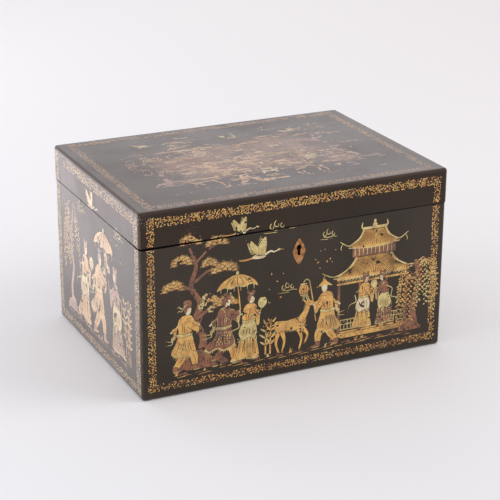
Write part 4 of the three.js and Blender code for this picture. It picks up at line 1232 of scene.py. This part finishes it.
def cloud(pen, width):
    for u, v, r in ((0, 0, 3), (4.4, 1.9, 3.6), (9.4, 0.2, 2.7)):
        turns = [(u + r * (1 - t) * math.cos(6 * t + 2), v + r * (1 - t) * math.sin(6 * t + 2))
                 for t in np.linspace(0, 0.85, 9)]
        pen.line(turns, 0.8, ends=(1, 0.5))
    pen.line([(-3, -2.2), (3, -3.4), (9, -2.6), (width * 0.8, -3.6), (width, -2.4)], 0.8)
    pen.line([(-width * 0.4, -4.6), (2, -5.2), (width * 0.6, -5.4)])


def deer(pen):
    """A spotted deer, walking, its head turned up."""
    for hip, knee, foot in (((-11, 22), (-14, 11), (-11, 0)), ((9, 21), (12, 11), (9.6, 0)),
                            ((-8, 21), (-5.5, 11), (-8, 0)), ((12, 22), (18, 14), (15, 5))):
        pen.limb([hip, knee, foot], [5, 2.4, 1.5])
        pen.oval(foot[0] + 0.7, foot[1] + 0.4, 1.3, 0.9, "brown", 0.2)
    pen.blob([(-16, 27), (-14, 31.6), (-4, 31), (6, 32), (14, 33), (16.6, 28), (13, 22), (4, 20.4),
              (-6, 21.6), (-13, 20.6)])
    pen.limb([(12, 30), (17, 38), (18.4, 44)], [7.4, 4.6, 3.8])
    pen.blob([(16, 44), (18, 47.6), (21, 47), (26, 43.6), (25.6, 42), (20, 42)], gap=0.35)
    pen.blob([(16.6, 46.6), (12.6, 49.6), (15.4, 45.4)], gap=0.3)
    for side in (0, 1.8):
        pen.line([(18 + side, 47.2), (15.6 + side, 53), (18 + side, 59)], 0.9, ends=(1, 0.4))
        pen.line([(16 + side, 53), (20.6 + side, 56.4)], 0.7)
        pen.line([(17 + side, 50.6), (13 + side, 55)])
    for u in np.arange(-13, 15, 3.6):
        for v in (24, 27.4, 30.2):
            pen.oval(u + (v * 1.3) % 2, v + pen.random.uniform(-0.5, 0.5), 0.8, 0.65, "pale", 0.15)
    pen.line([(-15.6, 29), (-19, 28), (-18.6, 24)], 1.4)
    fringe(pen, [(17, 24), (13, 21.6), (4, 20), (-6, 21.2)], 1.4, 1.6)
    fringe(pen, [(13.6, 33), (14.6, 38), (16, 44)], 1.5, 1.3)


def wall_block(pen, half, low, high, tone):
    pen.blob([(-half, low), (-half, high), (half, high), (half, low)], tone, round_off=False)


def pavilion(pen, tiers):
    """An open garden pavilion on a low terrace: upturned roofs, posts, a frieze and rails."""
    half = 29
    wall_block(pen, half + 4, 0, 5, "gold")
    pen.cut([(-half - 4, 3.6), (half + 4, 3.6)], 0.4, (1, 1))
    for u in np.arange(-half - 1, half + 3, 5):
        pen.cut([(u, 0.4), (u, 3.4)], 0.4)
        pen.dot(u + 2.5, 1.8, 0.8, gap=0.25)
    for u in (-half + 2, -half * 0.36, half * 0.36, half - 2):
        pen.limb([(u, 5), (u, 44)], [2.2, 2], "brown")
        pen.line([(u, 6), (u, 43)], 0.45, straight=True)
    for v in (44, 40.6):
        pen.limb([(-half + 1, v), (half - 1, v)], [1.4, 1.4])
    for u in np.arange(-half + 4, half - 3, 2.6):
        pen.line([(u, 40.8), (u + 1.3, 43.6), (u + 2.6, 40.8)], 0.45, straight=True)
    for low, high in ((-half + 3, -half * 0.36 - 1), (half * 0.36 + 1, half - 3)):
        for v in (13.6, 10.4, 6.4):
            pen.line([(low, v), (high, v)], 0.7, ends=(1, 1))
        for u in np.arange(low + 1, high, 2.6):
            pen.line([(u, 6.4), (u, 13.6)], 0.5, ends=(1, 1))
    level = 45
    for tier in range(tiers):
        span, rise = (half + 8) * (1 - 0.36 * tier), 15 * (1 - 0.16 * tier)
        roof(pen.at(0, level), span, rise)
        if tier < tiers - 1:
            wall = span * 0.46
            wall_block(pen, wall, level + rise - 1, level + rise + 7, "brown")
            for u in np.arange(-wall + 2, wall - 1, 3.2):
                pen.line([(u, level + rise), (u, level + rise + 6)], ends=(1, 1))
            level += rise + 6
    top = pen.at(0, level + rise)
    top.dot(0, 2.2, 1.8, gap=0.3)
    top.oval(0, 5, 1.1, 1.3, "pale", 0.2)


def roof(pen, half, rise):
    """A tiled roof with a raised ridge and eaves that turn up at the ends."""
    side = [(half + 2, 4.6), (half * 0.82, 1.4), (half * 0.6, 3.6), (half * 0.44, rise * 0.62),
            (half * 0.36, rise)]
    outline = side + [(-u, v) for u, v in side[::-1]]
    pen.blob(outline + [(-half * 0.6, -0.6), (0, -1.2), (half * 0.6, -0.6)], round_off=False)
    for k in np.linspace(-0.92, 0.92, int(half * 0.9)):
        pen.cut([(k * half * 0.34, rise - 0.8), (k * half * (0.46 + 0.04 * abs(k)), rise * 0.46),
                 (k * half * 0.84, 0.6 + 1.2 * abs(k) ** 3)], 0.42, (0.7, 0.9))
    for s in (-1, 1):
        pen.line([(s * half * 0.36, rise), (s * half * 0.46, rise * 0.6), (s * half * 0.64, 4),
                  (s * half * 0.86, 2), (s * (half + 3), 5.8)], 1.1, ends=(1, 0.5))
        pen.line([(s * (half + 1), 4.4), (s * (half + 2.6), 1), (s * (half + 1.4), -1)])
    pen.limb([(-half * 0.38, rise + 0.4), (half * 0.38, rise + 0.4)], [1.9, 1.9], "pale", 0.35)
    for s in (-1, 1):
        horn = [(s * half * 0.36, rise + 0.6), (s * half * 0.43, rise + 1.6), (s * half * 0.41, rise + 4.6)]
        pen.line(horn, 1.2, ends=(1, 0.5))
    pen.line([(-half * 0.84, 0.4), (-half * 0.4, -0.9), (0, -1.3), (half * 0.4, -0.9), (half * 0.84, 0.4)],
             0.9, ends=(1, 1))


def bridge(pen, half):
    route = [(-half, 0), (-half * 0.5, 7), (0, 9.6), (half * 0.5, 7), (half, 0)]
    pen.limb(route, [3.6] * 5)
    p = smooth(route)
    for place in p[1:-1]:
        pen.cut(about(place, (0, -1.8), (0, 1.6)), 0.35)
    for lift, width in ((2.2, 0.7), (9, 0.9), (6, 0.6)):
        pen.line([(u, v + lift) for u, v in route], width, ends=(1, 1))
    for place in p[::2]:
        pen.limb(about(place, (0, 2), (0, 9.6)), [1, 1], gap=0.3)
        pen.dot(place[0], place[1] + 10.4, 0.9, gap=0.2)
    for k in range(5):
        u = -half * 0.5 + k * half * 0.25
        pen.line([(u, -4 - k % 2), (u + 4, -3), (u + 8, -4)], 0.5)


# Pictures of the five gilded faces

WIDTH_MM, DEPTH_MM, HEIGHT_MM = 300, 216, 173
PITCH_MM = 0.38
GROUND_V = 22


def ground(page, start, end, v=GROUND_V, step=11.0):
    """Low banks, grass and small stones along a line."""
    random = page.random
    for u in np.arange(start, end, step):
        u += random.uniform(-3, 3)
        low = v - random.uniform(1, 4)
        reach = random.uniform(7, 15)
        page.line([(u, low), (u + reach * 0.5, low + 1.1), (u + reach, low)], 0.7, "brown")
        page.line([(u + 3, low - 1.8), (u + reach, low - 1.1), (u + reach + 5, low - 2)], 0.5, "gold")
        if random.random() < 0.55:
            size, tone = random.uniform(3, 5.5), random.choice(["gold", "pale", "brown"])
            tuft(page.at(u + reach * 0.4, low + 0.6), size, tone)
        if random.random() < 0.4:
            page.at(u + reach * 0.7, low).blob([(-2.2, 0), (-1.2, 1.7), (1, 1.5), (2.3, 0)], "brown", 0.3)


def scatter(page, low, high, count):
    """Small lone leaves and dots in the bare ground."""
    random = page.random
    for _ in range(count):
        u, v = random.uniform(low[0], high[0]), random.uniform(low[1], high[1])
        if random.random() < 0.5:
            leaf(page.at(u, v, 1, random.uniform(0, 360)), 2.6, 1.1, "gold", False)
        else:
            page.dot(u, v, 0.5, gap=0.2)


def front_picture():
    sheet, page = blank(WIDTH_MM, HEIGHT_MM, 5)
    ground(page, 26, 268)
    rock(page.at(56, 23), 46, 17)
    pine(page.at(56, 37, 1.02))
    tuft(page.at(37, 40), 6, "pale")
    walker(page.at(40, 22, 1.1), spray, (13, 38), "cap", flutter=2)
    walker(page.at(77, 21, 1.14), parasol, (15, 42), coat="brown", flutter=7)
    lady(page.at(101, 22, 1.12), fan, (10, 38), train=5)
    crane(page.at(112, 118, 0.9))
    crane(page.at(94, 143, 0.72))
    cloud(page.at(124, 143, 1.05), 24)
    cloud(page.at(136, 84, 0.9), 18)
    deer(page.at(142, 22, 0.98))
    bamboo(page.at(122, 24), 34, 2)
    scatter(page, (116, 70), (140, 100), 10)
    pavilion(page.at(226, 25, 1.3), 2)
    lady(page.at(216, 32, 0.92), tray, (12, 35), train=3, under="cream")
    lady(page.at(238, 32, 0.9, flip=True), fan, coat="brown", train=2)
    walker(page.at(180, 21, 1.1, flip=True), lantern, (13, 38), "hat", flutter=3)
    willow(page.at(271, 26), 66)
    rock(page.at(266, 21), 22, 11)
    cloud(page.at(176, 128, 0.9), 15)
    scatter(page, (168, 88), (188, 124), 9)
    sheet.wear(0.22, 4.5, (60, 150, 60, 10, 0.12))
    return sheet


def left_picture():
    sheet, page = blank(DEPTH_MM, HEIGHT_MM, 11)
    ground(page, 26, 180)
    willow(page.at(42, 24), 112)
    rock(page.at(44, 22), 30, 13)
    lady(page.at(76, 23, 1.4), fan, (11, 37), train=6)
    walker(page.at(112, 22, 1.46), parasol, (14, 41), flutter=5)
    lady(page.at(158, 23, 1.38, flip=True), spray, (12, 38), "brown", 5)
    crane(page.at(98, 142, 0.85))
    cloud(page.at(66, 134, 1.1), 22)
    cloud(page.at(160, 138, 1.1), 18)
    bamboo(page.at(184, 23), 62)
    scatter(page, (130, 112), (180, 132), 8)
    sheet.wear(0.28, 5, (200, 140, 30, 40, 0.1))
    return sheet


def right_picture():
    sheet, page = blank(DEPTH_MM, HEIGHT_MM, 17)
    ground(page, 26, 180)
    bridge(page.at(112, 30, 1.5), 34)
    walker(page.at(104, 44, 1.2), staff, (13, 38), "hat")
    lady(page.at(132, 42, 1.15), basket, (12, 38), "brown", 3)
    pine(page.at(48, 34, 1))
    rock(page.at(44, 22), 38, 15)
    deer(page.at(176, 23, 0.95, flip=True))
    crane(page.at(124, 132, 0.9))
    cloud(page.at(158, 128, 1.1), 24)
    bamboo(page.at(188, 23), 52)
    scatter(page, (90, 112), (180, 122), 8)
    sheet.wear(0.27, 5, (30, 20, 40, 20, 0.12))
    return sheet


def back_picture():
    sheet, page = blank(WIDTH_MM, HEIGHT_MM, 23)
    ground(page, 26, 262)
    for stem, size in (([(40, 24), (62, 52), (92, 66), (118, 96)], 8), ([(58, 46), (54, 78), (72, 108)], 7),
                       ([(84, 62), (112, 56), (140, 64)], 7)):
        page.limb(stem, [2.6, 2, 1.4], "brown", 0.35)
        branch_leaves(page, stem, size * 1.5, 6.4)
    for u, v, size in ((118, 98, 1.5), (72, 110, 1.3), (140, 64, 1.1), (92, 66, 1.2), (56, 74, 1)):
        peony(page.at(u, v, size))
    rock(page.at(46, 22), 40, 20)
    walker(page.at(190, 22, 1.12, flip=True), lantern, (13, 38), "cap", "brown")
    lady(page.at(216, 22, 1.1, flip=True), parasol, (11, 40))
    willow(page.at(256, 23), 104)
    crane(page.at(178, 128))
    cloud(page.at(214, 132, 1.1), 24)
    cloud(page.at(150, 138), 18)
    sheet.wear(0.28, 5, (210, 12, 50, 12, 0.2))
    return sheet


def top_picture():
    sheet, page = blank(WIDTH_MM, DEPTH_MM, 29)
    for level in (36, 62, 94):
        ground(page, 44, 258, level, 12)
    rock(page.at(238, 58), 58, 26)
    rock(page.at(60, 56), 36, 16)
    pine(page.at(240, 70, 0.95))
    willow(page.at(58, 60), 96)
    pavilion(page.at(112, 98, 1.1), 2)
    pavilion(page.at(186, 102, 0.95), 1)
    bamboo(page.at(150, 100), 50)
    bridge(page.at(150, 66, 1.4), 30)
    lady(page.at(112, 106, 0.85), fan)
    lady(page.at(186, 108, 0.75, flip=True), tray, coat="brown")
    walker(page.at(146, 80, 0.9), staff, style="hat")
    lady(page.at(166, 79, 0.85, flip=True), parasol)
    lady(page.at(82, 62), parasol, coat="brown")
    walker(page.at(106, 60), spray, style="cap")
    lady(page.at(204, 62, flip=True), basket)
    walker(page.at(224, 44, flip=True), lantern, style="hat", coat="brown")
    walker(page.at(122, 34, 1.05), lantern)
    lady(page.at(150, 34), fan, under="cream")
    deer(page.at(86, 34, 0.95))
    deer(page.at(188, 35, 0.9, flip=True))
    for u, v, size in ((162, 166, 0.8), (222, 160, 0.8), (74, 172, 0.7)):
        crane(page.at(u, v, size))
    for u, v in ((92, 168), (200, 182), (248, 176)):
        cloud(page.at(u, v, 1.2), 30)
    sheet.wear(0.46, 5, (190, 80, 60, 40, -0.1), stretch=(1, 2.6))
    sheet.wear(0.42, 1.7, stretch=(1, 6))
    return sheet


# Borders of small gilt leaves about a waving stem, one run along each side of a face

LEAF_STEP, LEAF_ROW = 1.36, 1.16
LEAF_SHAPE = np.array([(-1, 0), (-0.35, 0.85), (0.4, 0.8), (1, 0), (0.4, -0.8), (-0.35, -0.85)])
LEAF_LENGTH, LEAF_BREADTH = (0.6, 1.05), (0.34, 0.56)
LEAF_JITTER = 0.4
LEAF_LEAN, LEAF_SPREAD = 0.95, 0.35
LEAF_TONES = ("leaf", "pale", "cream", "brown")
BRIGHT_LEAVES = (0.66, 0.12, 0.02, 0.2)
DIM_LEAVES = (0.46, 0.08, 0, 0.46)
# Painted sheen: mostly cream leaves, paler for the grazing light on the lit left face
SHEEN_PALED_LEAVES = (0.24, 0.14, 0.58, 0.04)
WHOLE_SHARE, RUBBED_SHARE = 0.94, 0.4
STEM_PERIOD, STEM_SWING, STEM_GAP = 6.2, 0.27, 0.4
EYE_RADIUS, EYE_OFFSET = 0.85, 0.24
EDGE_STRIP, EDGE_SHARE = 0.8, 0.6
WEAR_CELL = 2.0


def border_run(length, band, share, random):
    """Places along and across one run, with each leaf's turn."""
    along, across = np.meshgrid(np.arange(0, length, LEAF_STEP), np.arange(LEAF_ROW / 2, band, LEAF_ROW))
    along = along.ravel() + random.uniform(-LEAF_JITTER, LEAF_JITTER, along.size)
    across = across.ravel() + random.uniform(-LEAF_JITTER, LEAF_JITTER, across.size)
    phase = 2 * math.pi * along / STEM_PERIOD
    stem = band * (0.5 + STEM_SWING * np.sin(phase))
    slope = np.arctan(band * STEM_SWING * np.cos(phase) * 2 * math.pi / STEM_PERIOD)
    turn = slope + np.sign(across - stem) * LEAF_LEAN + random.normal(0, LEAF_SPREAD, along.size)
    middle = (np.floor(along / STEM_PERIOD * 2) + 0.5) * STEM_PERIOD / 2
    side = np.where(np.floor(along / STEM_PERIOD * 2) % 2 == 0, 1, -1)
    eye = np.hypot(along - middle, across - band * (0.5 - side * EYE_OFFSET))
    edge = np.minimum(across, band - across) < EDGE_STRIP
    keep = (np.abs(across - stem) > STEM_GAP) & (eye > EYE_RADIUS)
    keep &= random.random(along.size) < np.where(edge, EDGE_SHARE, share)
    return along[keep], across[keep], turn[keep]


def border_leaves(width, height, insets, bands, rubbed, shares, seed):
    """The outline of every leaf in a face's border, and its tone. rubbed is the worn share of each run, and
    shares says how many of a run's leaves have each tone."""
    random = np.random.default_rng(seed)
    bottom, right, top, left = insets
    starts = ((left, bottom), (width - right, bottom), (width - right, height - top), (left, height - top))
    lengths = (width - left - right, height - bottom - top) * 2
    wear = soft_noise((int(height / WEAR_CELL) + 1, int(width / WEAR_CELL) + 1), 3, random)
    leaves, tones = [], []
    for side in range(4):
        run = lengths[side] - bands[(side + 1) % 4]
        along, across, turn = border_run(run, bands[side], WHOLE_SHARE - RUBBED_SHARE * rubbed[side], random)
        c, s = round(math.cos(side * math.pi / 2)), round(math.sin(side * math.pi / 2))
        u = starts[side][0] + c * along - s * across
        v = starts[side][1] + s * along + c * across
        turn = turn + side * math.pi / 2
        half = random.uniform(*LEAF_LENGTH, u.size)[:, None] * LEAF_SHAPE[:, 0]
        breadth = random.uniform(*LEAF_BREADTH, u.size)[:, None] * LEAF_SHAPE[:, 1]
        cosine, sine = np.cos(turn)[:, None], np.sin(turn)[:, None]
        outline = np.stack([u[:, None] + cosine * half - sine * breadth,
                            v[:, None] + sine * half + cosine * breadth], 2)
        here = wear[(v / WEAR_CELL).astype(int), (u / WEAR_CELL).astype(int)]
        leaves.append(outline[here > rubbed[side]])
        tones.append(random.choice(len(LEAF_TONES), len(leaves[-1]), p=shares[side]))
    return np.concatenate(leaves), np.concatenate(tones)


# Gilding on the box: each face's picture as thin leaf, split where the lid parts from the body

OUTLINE_MM = 0.06
SPECK_MM2 = 0.12
LEAF_LIFT = {"brown": 0.04 * MM, "gold": 0.06 * MM, "leaf": 0.06 * MM, "pale": 0.08 * MM, "cream": 0.1 * MM}

# Gilding's bright, deep and stained colours, and each face's blend: its colour, its share and the coat.
# The top's blend is faded, worn gilding; the left's is painted sheen
GILT = {
    "brown": (rgb(158, 96, 54), rgb(118, 70, 44), rgb(64, 42, 32)),
    "gold": (rgb(242, 184, 88), rgb(214, 150, 70), rgb(112, 76, 44)),
    "pale": (rgb(230, 208, 136), rgb(200, 170, 100), rgb(122, 92, 58)),
    "cream": (rgb(244, 226, 184), rgb(222, 192, 144), rgb(156, 120, 84)),
    "leaf": (rgb(255, 198, 96), rgb(236, 166, 76), rgb(196, 132, 62)),
}
GILT_FADES_AND_SHEEN = {
    "front": (rgb(120, 92, 70), 0, 1),
    # Painted sheen: the lit left face gets a paler, greyer copy of the gilding for the grazing light on it
    "left": (rgb(186, 168, 152), 0.5, 0.5),
    "top": (rgb(134, 102, 84), 0.6, 0.9),
}
SIDE_MARGIN = 3.6
FOOT_MARGIN = 4.2
TOP_MARGIN = 3.2
SEAM_MARGIN = 0.8
BACK_SEAM_MARGIN = 3.2
PLATE_MARGIN_U, PLATE_MARGIN_V = 1.2, 2

# Borders: for the bottom, right, top and left run, how far it is from its face's edge, how wide it is and how
# much of it is rubbed away, then the shares of the tones and a seed
FRONT_LEAVES = (DIM_LEAVES, *[BRIGHT_LEAVES] * 3)
FRONT_BORDER = (7.4, 7.4, 6, 6.6), (6.6, 7, 8, 7.4), (0.05, 0.05, 0.08, 0.03), FRONT_LEAVES, 3
LEFT_BORDER = (5.4, 4, 4.2, 4), (6.4, 9.6, 9, 9.6), (0.1, 0.04, 0.2, 0.06), [SHEEN_PALED_LEAVES] * 4, 5
# The left face's runs use the cream-heavy leaf tones of painted sheen
RIGHT_BORDER = (5.4, 6, 4.2, 6), (6.4, 9, 9, 10), (0.12, 0.12, 0.1, 0.1), [BRIGHT_LEAVES] * 4, 5
BACK_BORDER = (5.6, 6.4, 5, 6.4), (7, 9, 8.2, 9), (0.2, 0.1, 0.15, 0.1), [BRIGHT_LEAVES] * 4, 7
TOP_BORDER = (5, 11, 6, 10), (8, 7.4, 9.4, 6.6), (0.2, 0.15, 0.2, 0.12), [BRIGHT_LEAVES] * 4, 11


def blended_towards(color, towards, share):
    return tuple(a + (b - a) * share for a, b in zip(color, towards))


def gilt_material(name, bright, deep, stain, coat):
    s = Shader(name)
    cloud = s.between(s.noise(130, 5, 0.3), 0.4, 0.62)
    color = s.mix(cloud, bright, deep)
    freckle = s.between(s.noise(1500, 3), 0.56, 0.68, 0, 0.75)
    color = s.mix(freckle, color, stain)
    rub = s.between(s.noise(46, 4, 0.5), 0.52, 0.7, 0, 0.55)
    color = s.mix(rub, color, stain)
    rough = s.between(s.noise(300, 3), 0.3, 0.7, 0.36, 0.55)
    normal = s.bump(s.noise(650, 4), 0.3, 0.0003, s.bump(s.noise(11, 1), 0.35, 0.0022))
    return s.finish(Base_Color=color, Roughness=rough, Metallic=0.15, Normal=normal, IOR=1.5,
                    Coat_Weight=coat, Coat_Roughness=0.28, Coat_IOR=1.5)


def gilt_set(face):
    towards, share, coat = GILT_FADES_AND_SHEEN[face]
    made = {}
    for tone, colors in GILT.items():
        seen = [blended_towards(color, towards, share) for color in colors]
        made[tone] = gilt_material(f"{face}_gilt_{tone}", *seen, coat)
    return made


def kept(sheet, tone, low_v, high_v, lozenge):
    """A tone's field without what lies off one part of the face, or under the keyhole plate."""
    v = (np.arange(sheet.shape[0]) * sheet.pitch)[:, None]
    u = (np.arange(sheet.shape[1]) * sheet.pitch)[None, :]
    beside = np.maximum(SIDE_MARGIN - u, u - sheet.width + SIDE_MARGIN)
    off = np.maximum(np.maximum(low_v - v, v - high_v), beside)
    field = np.maximum(sheet.field[tone], off.astype(np.float32))
    if lozenge:
        middle_u, middle_v, half, tall = lozenge
        inside = half * (1 - np.abs(u - middle_u) / half - np.abs(v - middle_v) / tall)
        field = np.maximum(field, inside.astype(np.float32))
    return field


def leaf_triangles(field, pitch):
    """Points and triangles that fill a field's inside."""
    loops = outlines(field, pitch, OUTLINE_MM, SPECK_MM2)
    if not loops:
        return np.zeros((0, 2)), np.zeros((0, 3), int)
    points, edges = [], []
    for loop in loops:
        first = len(points)
        points += [Vector(p) for p in loop]
        edges += [(first + i, first + (i + 1) % len(loop)) for i in range(len(loop))]
    found = delaunay_2d_cdt(points, edges, [], 0, 1e-7)
    spots = np.array([tuple(p) for p in found[0]])
    triangles = np.array(found[2])
    middle = spots[triangles].mean(1) / pitch
    corner = np.clip(middle.astype(int), 0, np.array(field.shape)[::-1] - 2)
    t = middle - corner
    u, v = corner.T
    level = (field[v, u] * (1 - t[:, 0]) + field[v, u + 1] * t[:, 0]) * (1 - t[:, 1])
    level += (field[v + 1, u] * (1 - t[:, 0]) + field[v + 1, u + 1] * t[:, 0]) * t[:, 1]
    return spots, triangles[level < 0]


def add_leaf(name, sheet, leaves, place, low_v, high_v, body, lozenge, materials):
    corners, faces, tones = [], [], []
    count = 0
    for i, tone in enumerate(TONES):
        spots, triangles = leaf_triangles(kept(sheet, tone, low_v, high_v, lozenge), sheet.pitch)
        used, triangles = np.unique(triangles, return_inverse=True)
        corners.append(np.column_stack([spots[used], np.full(len(used), LEAF_LIFT[tone] / MM)]))
        faces += (triangles.reshape(-1, 3) + count).tolist()
        tones += [i] * (len(faces) - len(tones))
        count += len(used)
    outlines_here, tones_here = leaves
    inside = (outlines_here[..., 1].min(1) > low_v) & (outlines_here[..., 1].max(1) < high_v)
    outlines_here, tones_here = outlines_here[inside], tones_here[inside]
    lifts = np.array([LEAF_LIFT[tone] for tone in LEAF_TONES]) / MM
    lift = np.repeat(lifts[tones_here], outlines_here.shape[1])
    corners.append(np.column_stack([outlines_here.reshape(-1, 2), lift]))
    faces += (np.arange(len(lift)).reshape(-1, outlines_here.shape[1]) + count).tolist()
    tones += np.array([list(materials).index(tone) for tone in LEAF_TONES])[tones_here].tolist()
    corners = np.concatenate(corners)
    mesh = bpy.data.meshes.new(name)
    mesh.from_pydata(place(*corners.T), [], faces)
    for material in materials.values():
        mesh.materials.append(material)
    mesh.polygons.foreach_set("material_index", np.array(tones, np.int32))
    layer = mesh.uv_layers.new(name="OFBake")
    spread = corners[np.concatenate(faces), :2] / (sheet.width, sheet.height)
    layer.data.foreach_set("uv", spread.astype(np.float32).ravel())
    mesh.update()
    piece = new_object(name, mesh)
    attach(piece, body)


def add_gilding():
    front_gilt, left_sheened_gilt, top_gilt = gilt_set("front"), gilt_set("left"), gilt_set("top")
    low, high = body_box[0] / MM, body_box[1] / MM
    lid_low, lid_high = lid_box[0] / MM, lid_box[1] / MM
    half_u, half_v = WIDTH_MM / 2, DEPTH_MM / 2

    def wall(picture, name, place, planes, border, seam_margin, materials, lozenge=None):
        sheet = picture()
        leaves = border_leaves(sheet.width, sheet.height, *border)
        spans = ((FOOT_MARGIN, high.z - seam_margin), (lid_low.z + seam_margin, lid_high.z - TOP_MARGIN))
        for body, plane, (low_v, high_v) in zip(("box", "lid"), planes, spans):
            def on_face(u, v, lift):
                return np.column_stack(place(u, v, plane, lift)) * MM
            piece = f"{name}_gilding_{body}"
            add_leaf(piece, sheet, leaves, on_face, low_v, high_v, body, lozenge, materials)

    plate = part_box("escutcheon")
    middle = (plate[0] + plate[1]) / 2 / MM
    size = (plate[1] - plate[0]) / MM
    margins = (size.x / 2 + PLATE_MARGIN_U, size.z / 2 + PLATE_MARGIN_V)
    plate_spot = (middle.x + half_u, middle.z, *margins)
    wall(front_picture, "front", lambda u, v, y, lift: (u - half_u, y - lift, v), (low.y, lid_low.y),
         FRONT_BORDER, SEAM_MARGIN, front_gilt, plate_spot)
    wall(left_picture, "left", lambda u, v, x, lift: (x - lift, half_v - u, v), (low.x, lid_low.x),
         LEFT_BORDER, SEAM_MARGIN, left_sheened_gilt)
    wall(right_picture, "right", lambda u, v, x, lift: (x + lift, u - half_v, v), (high.x, lid_high.x),
         RIGHT_BORDER, SEAM_MARGIN, front_gilt)
    wall(back_picture, "back", lambda u, v, y, lift: (half_u - u, y + lift, v), (high.y, lid_high.y),
         BACK_BORDER, BACK_SEAM_MARGIN, front_gilt)

    def on_top(u, v, lift):
        return np.column_stack((u - half_u, v - half_v, lid_high.z + lift)) * MM

    sheet = top_picture()
    leaves = border_leaves(sheet.width, sheet.height, *TOP_BORDER)
    add_leaf("top_gilding", sheet, leaves, on_top, TOP_MARGIN, DEPTH_MM - TOP_MARGIN, "lid", None, top_gilt)


# Metal, bone, linings and canisters keep their solids, with materials of their own

TURNING_MM = 1.1


def dress(material, *names):
    """Gives a material to every node whose name starts or ends with one of the names."""
    for name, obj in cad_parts.items():
        if name.startswith(names) or name.endswith(names):
            obj.data.materials.clear()
            obj.data.materials.append(material)


def metal_material(name, bright, dull, spots, scale=55, roughness=(0.28, 0.5)):
    s = Shader(name)
    patches = s.noise(scale, 4, 0.4)
    color = s.mix(s.between(patches, 0.34, 0.66), bright, dull)
    color = s.mix(s.between(s.noise(scale * 5, 3), 0.58, 0.7, 0, 0.7), color, spots)
    rough = s.between(s.noise(scale * 2, 3), 0.3, 0.7, *roughness)
    brushed = s.noise(700, 2, vector=s.stretched(0.06, 1, 1))
    normal = s.bump(brushed, 0.12, 0.0001, s.bump(s.noise(120, 2), 0.15, 0.0004))
    return s.finish(Base_Color=color, Roughness=rough, Metallic=1.0, Normal=normal)


def pewter_material(name, turned_about=None):
    """Old pewter: rubbing marks, dark pits and a dull grey bloom, and turning marks about an upright axis."""
    s = Shader(name)
    bloom = s.between(s.noise(55, 6, 0.3, roughness=0.65), 0.4, 0.68)
    color = s.mix(bloom, rgb(168, 166, 160), rgb(152, 150, 145))
    pits = s.times(s.between(s.cells(620), 0.13, 0.06), s.between(s.noise(38, 2), 0.46, 0.6))
    color = s.mix(pits, color, rgb(82, 78, 74))
    tarnish = s.between(s.noise(18, 5, 0.8, roughness=0.6), 0.56, 0.74, 0, 0.3)
    color = s.mix(tarnish, color, rgb(118, 112, 104))
    scratches = s.noise(900, 2, vector=s.stretched(0.05, 1, 0.4, (0, 0, 0.6)))
    crossing = s.noise(900, 2, vector=s.stretched(1, 0.05, 0.4, (0, 0, 0.3)))
    rough = s.plus(s.between(s.noise(70, 5), 0.3, 0.7, 0.3, 0.44), s.times(scratches, 0.06))
    marks = s.bump(crossing, 0.1, 0.0001, s.bump(scratches, 0.12, 0.0001))
    if turned_about:
        inputs = {"Vector": s.place, "Location": [-c for c in turned_about]}
        moved = s.node("ShaderNodeMapping", inputs).outputs[0]
        inputs = {"Vector": moved, "Scale": 1 / (20 * TURNING_MM * MM), "Distortion": 0.3}
        rings = s.node("ShaderNodeTexWave", inputs, wave_type="RINGS", rings_direction="Z").outputs[1]
        marks = s.bump(rings, 0.35, 0.0002, marks)
    normal = s.bump(s.minus(1, pits), 0.4, 0.0003, s.bump(s.noise(26, 2), 0.3, 0.0012, marks))
    return s.finish(Base_Color=color, Roughness=rough, Metallic=1, Normal=normal)


def bone_material():
    s = Shader("old_bone")
    growth = s.noise(900, 2, vector=s.stretched(1, 1, 0.12))
    ivory = s.mix(s.between(s.noise(160, 3), 0.3, 0.7), rgb(232, 220, 192), rgb(206, 186, 146))
    ivory = s.mix(s.between(growth, 0.56, 0.66, 0, 0.5), ivory, rgb(160, 130, 92))
    return s.finish(Base_Color=ivory, Roughness=s.between(growth, 0.3, 0.7, 0.3, 0.42),
                    Normal=s.bump(growth, 0.1, 0.0001))


def lining_material():
    s = Shader("lining_lacquer")
    return s.finish(Base_Color=s.mix(s.between(s.noise(40, 4), 0.3, 0.7), rgb(58, 34, 28), rgb(44, 26, 22)),
                    Roughness=s.between(s.noise(90, 2), 0.3, 0.7, 0.4, 0.55),
                    Normal=s.bump(s.noise(300, 3, vector=s.stretched(0.2, 1, 1)), 0.15, 0.0003))


def add_fittings():
    brass = metal_material("old_brass", rgb(176, 138, 88), rgb(128, 96, 60), rgb(84, 58, 38))
    steel = metal_material("dull_steel", rgb(120, 114, 108), rgb(84, 76, 70), rgb(96, 62, 44))
    copper = metal_material("worn_copper", rgb(202, 148, 100), rgb(140, 98, 64), rgb(86, 58, 40), 170,
                            (0.3, 0.5))
    dress(brass, "hinge_body_leaf", "hinge_lid_leaf", "lock_plate", "lock_case", "lock_bolt", "link_plate",
          "link_staple")
    dress(copper, "escutcheon")
    dress(steel, "left_hinge_pin", "right_hinge_pin", "lock_spring", "lock_stud", "lock_drill_pin",
          "lock_screw", "link_screw", "screw_1", "screw_2")
    dress(pewter_material("pewter"), "left_canister", "right_canister")
    for side in ("left", "right"):
        low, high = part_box(f"{side}_canister_cap")
        turned = pewter_material(f"{side}_turned_pewter", (low + high) / 2)
        dress(turned, f"{side}_canister_cap", f"{side}_canister_stopper")
    dress(bone_material(), "finial")
    dress(lining_material(), "lining", "partition")
    dress(bpy.data.materials["box_lacquer"], "base_board")


add_stage()
add_camera()
add_shells()
add_gilding()
add_fittings()
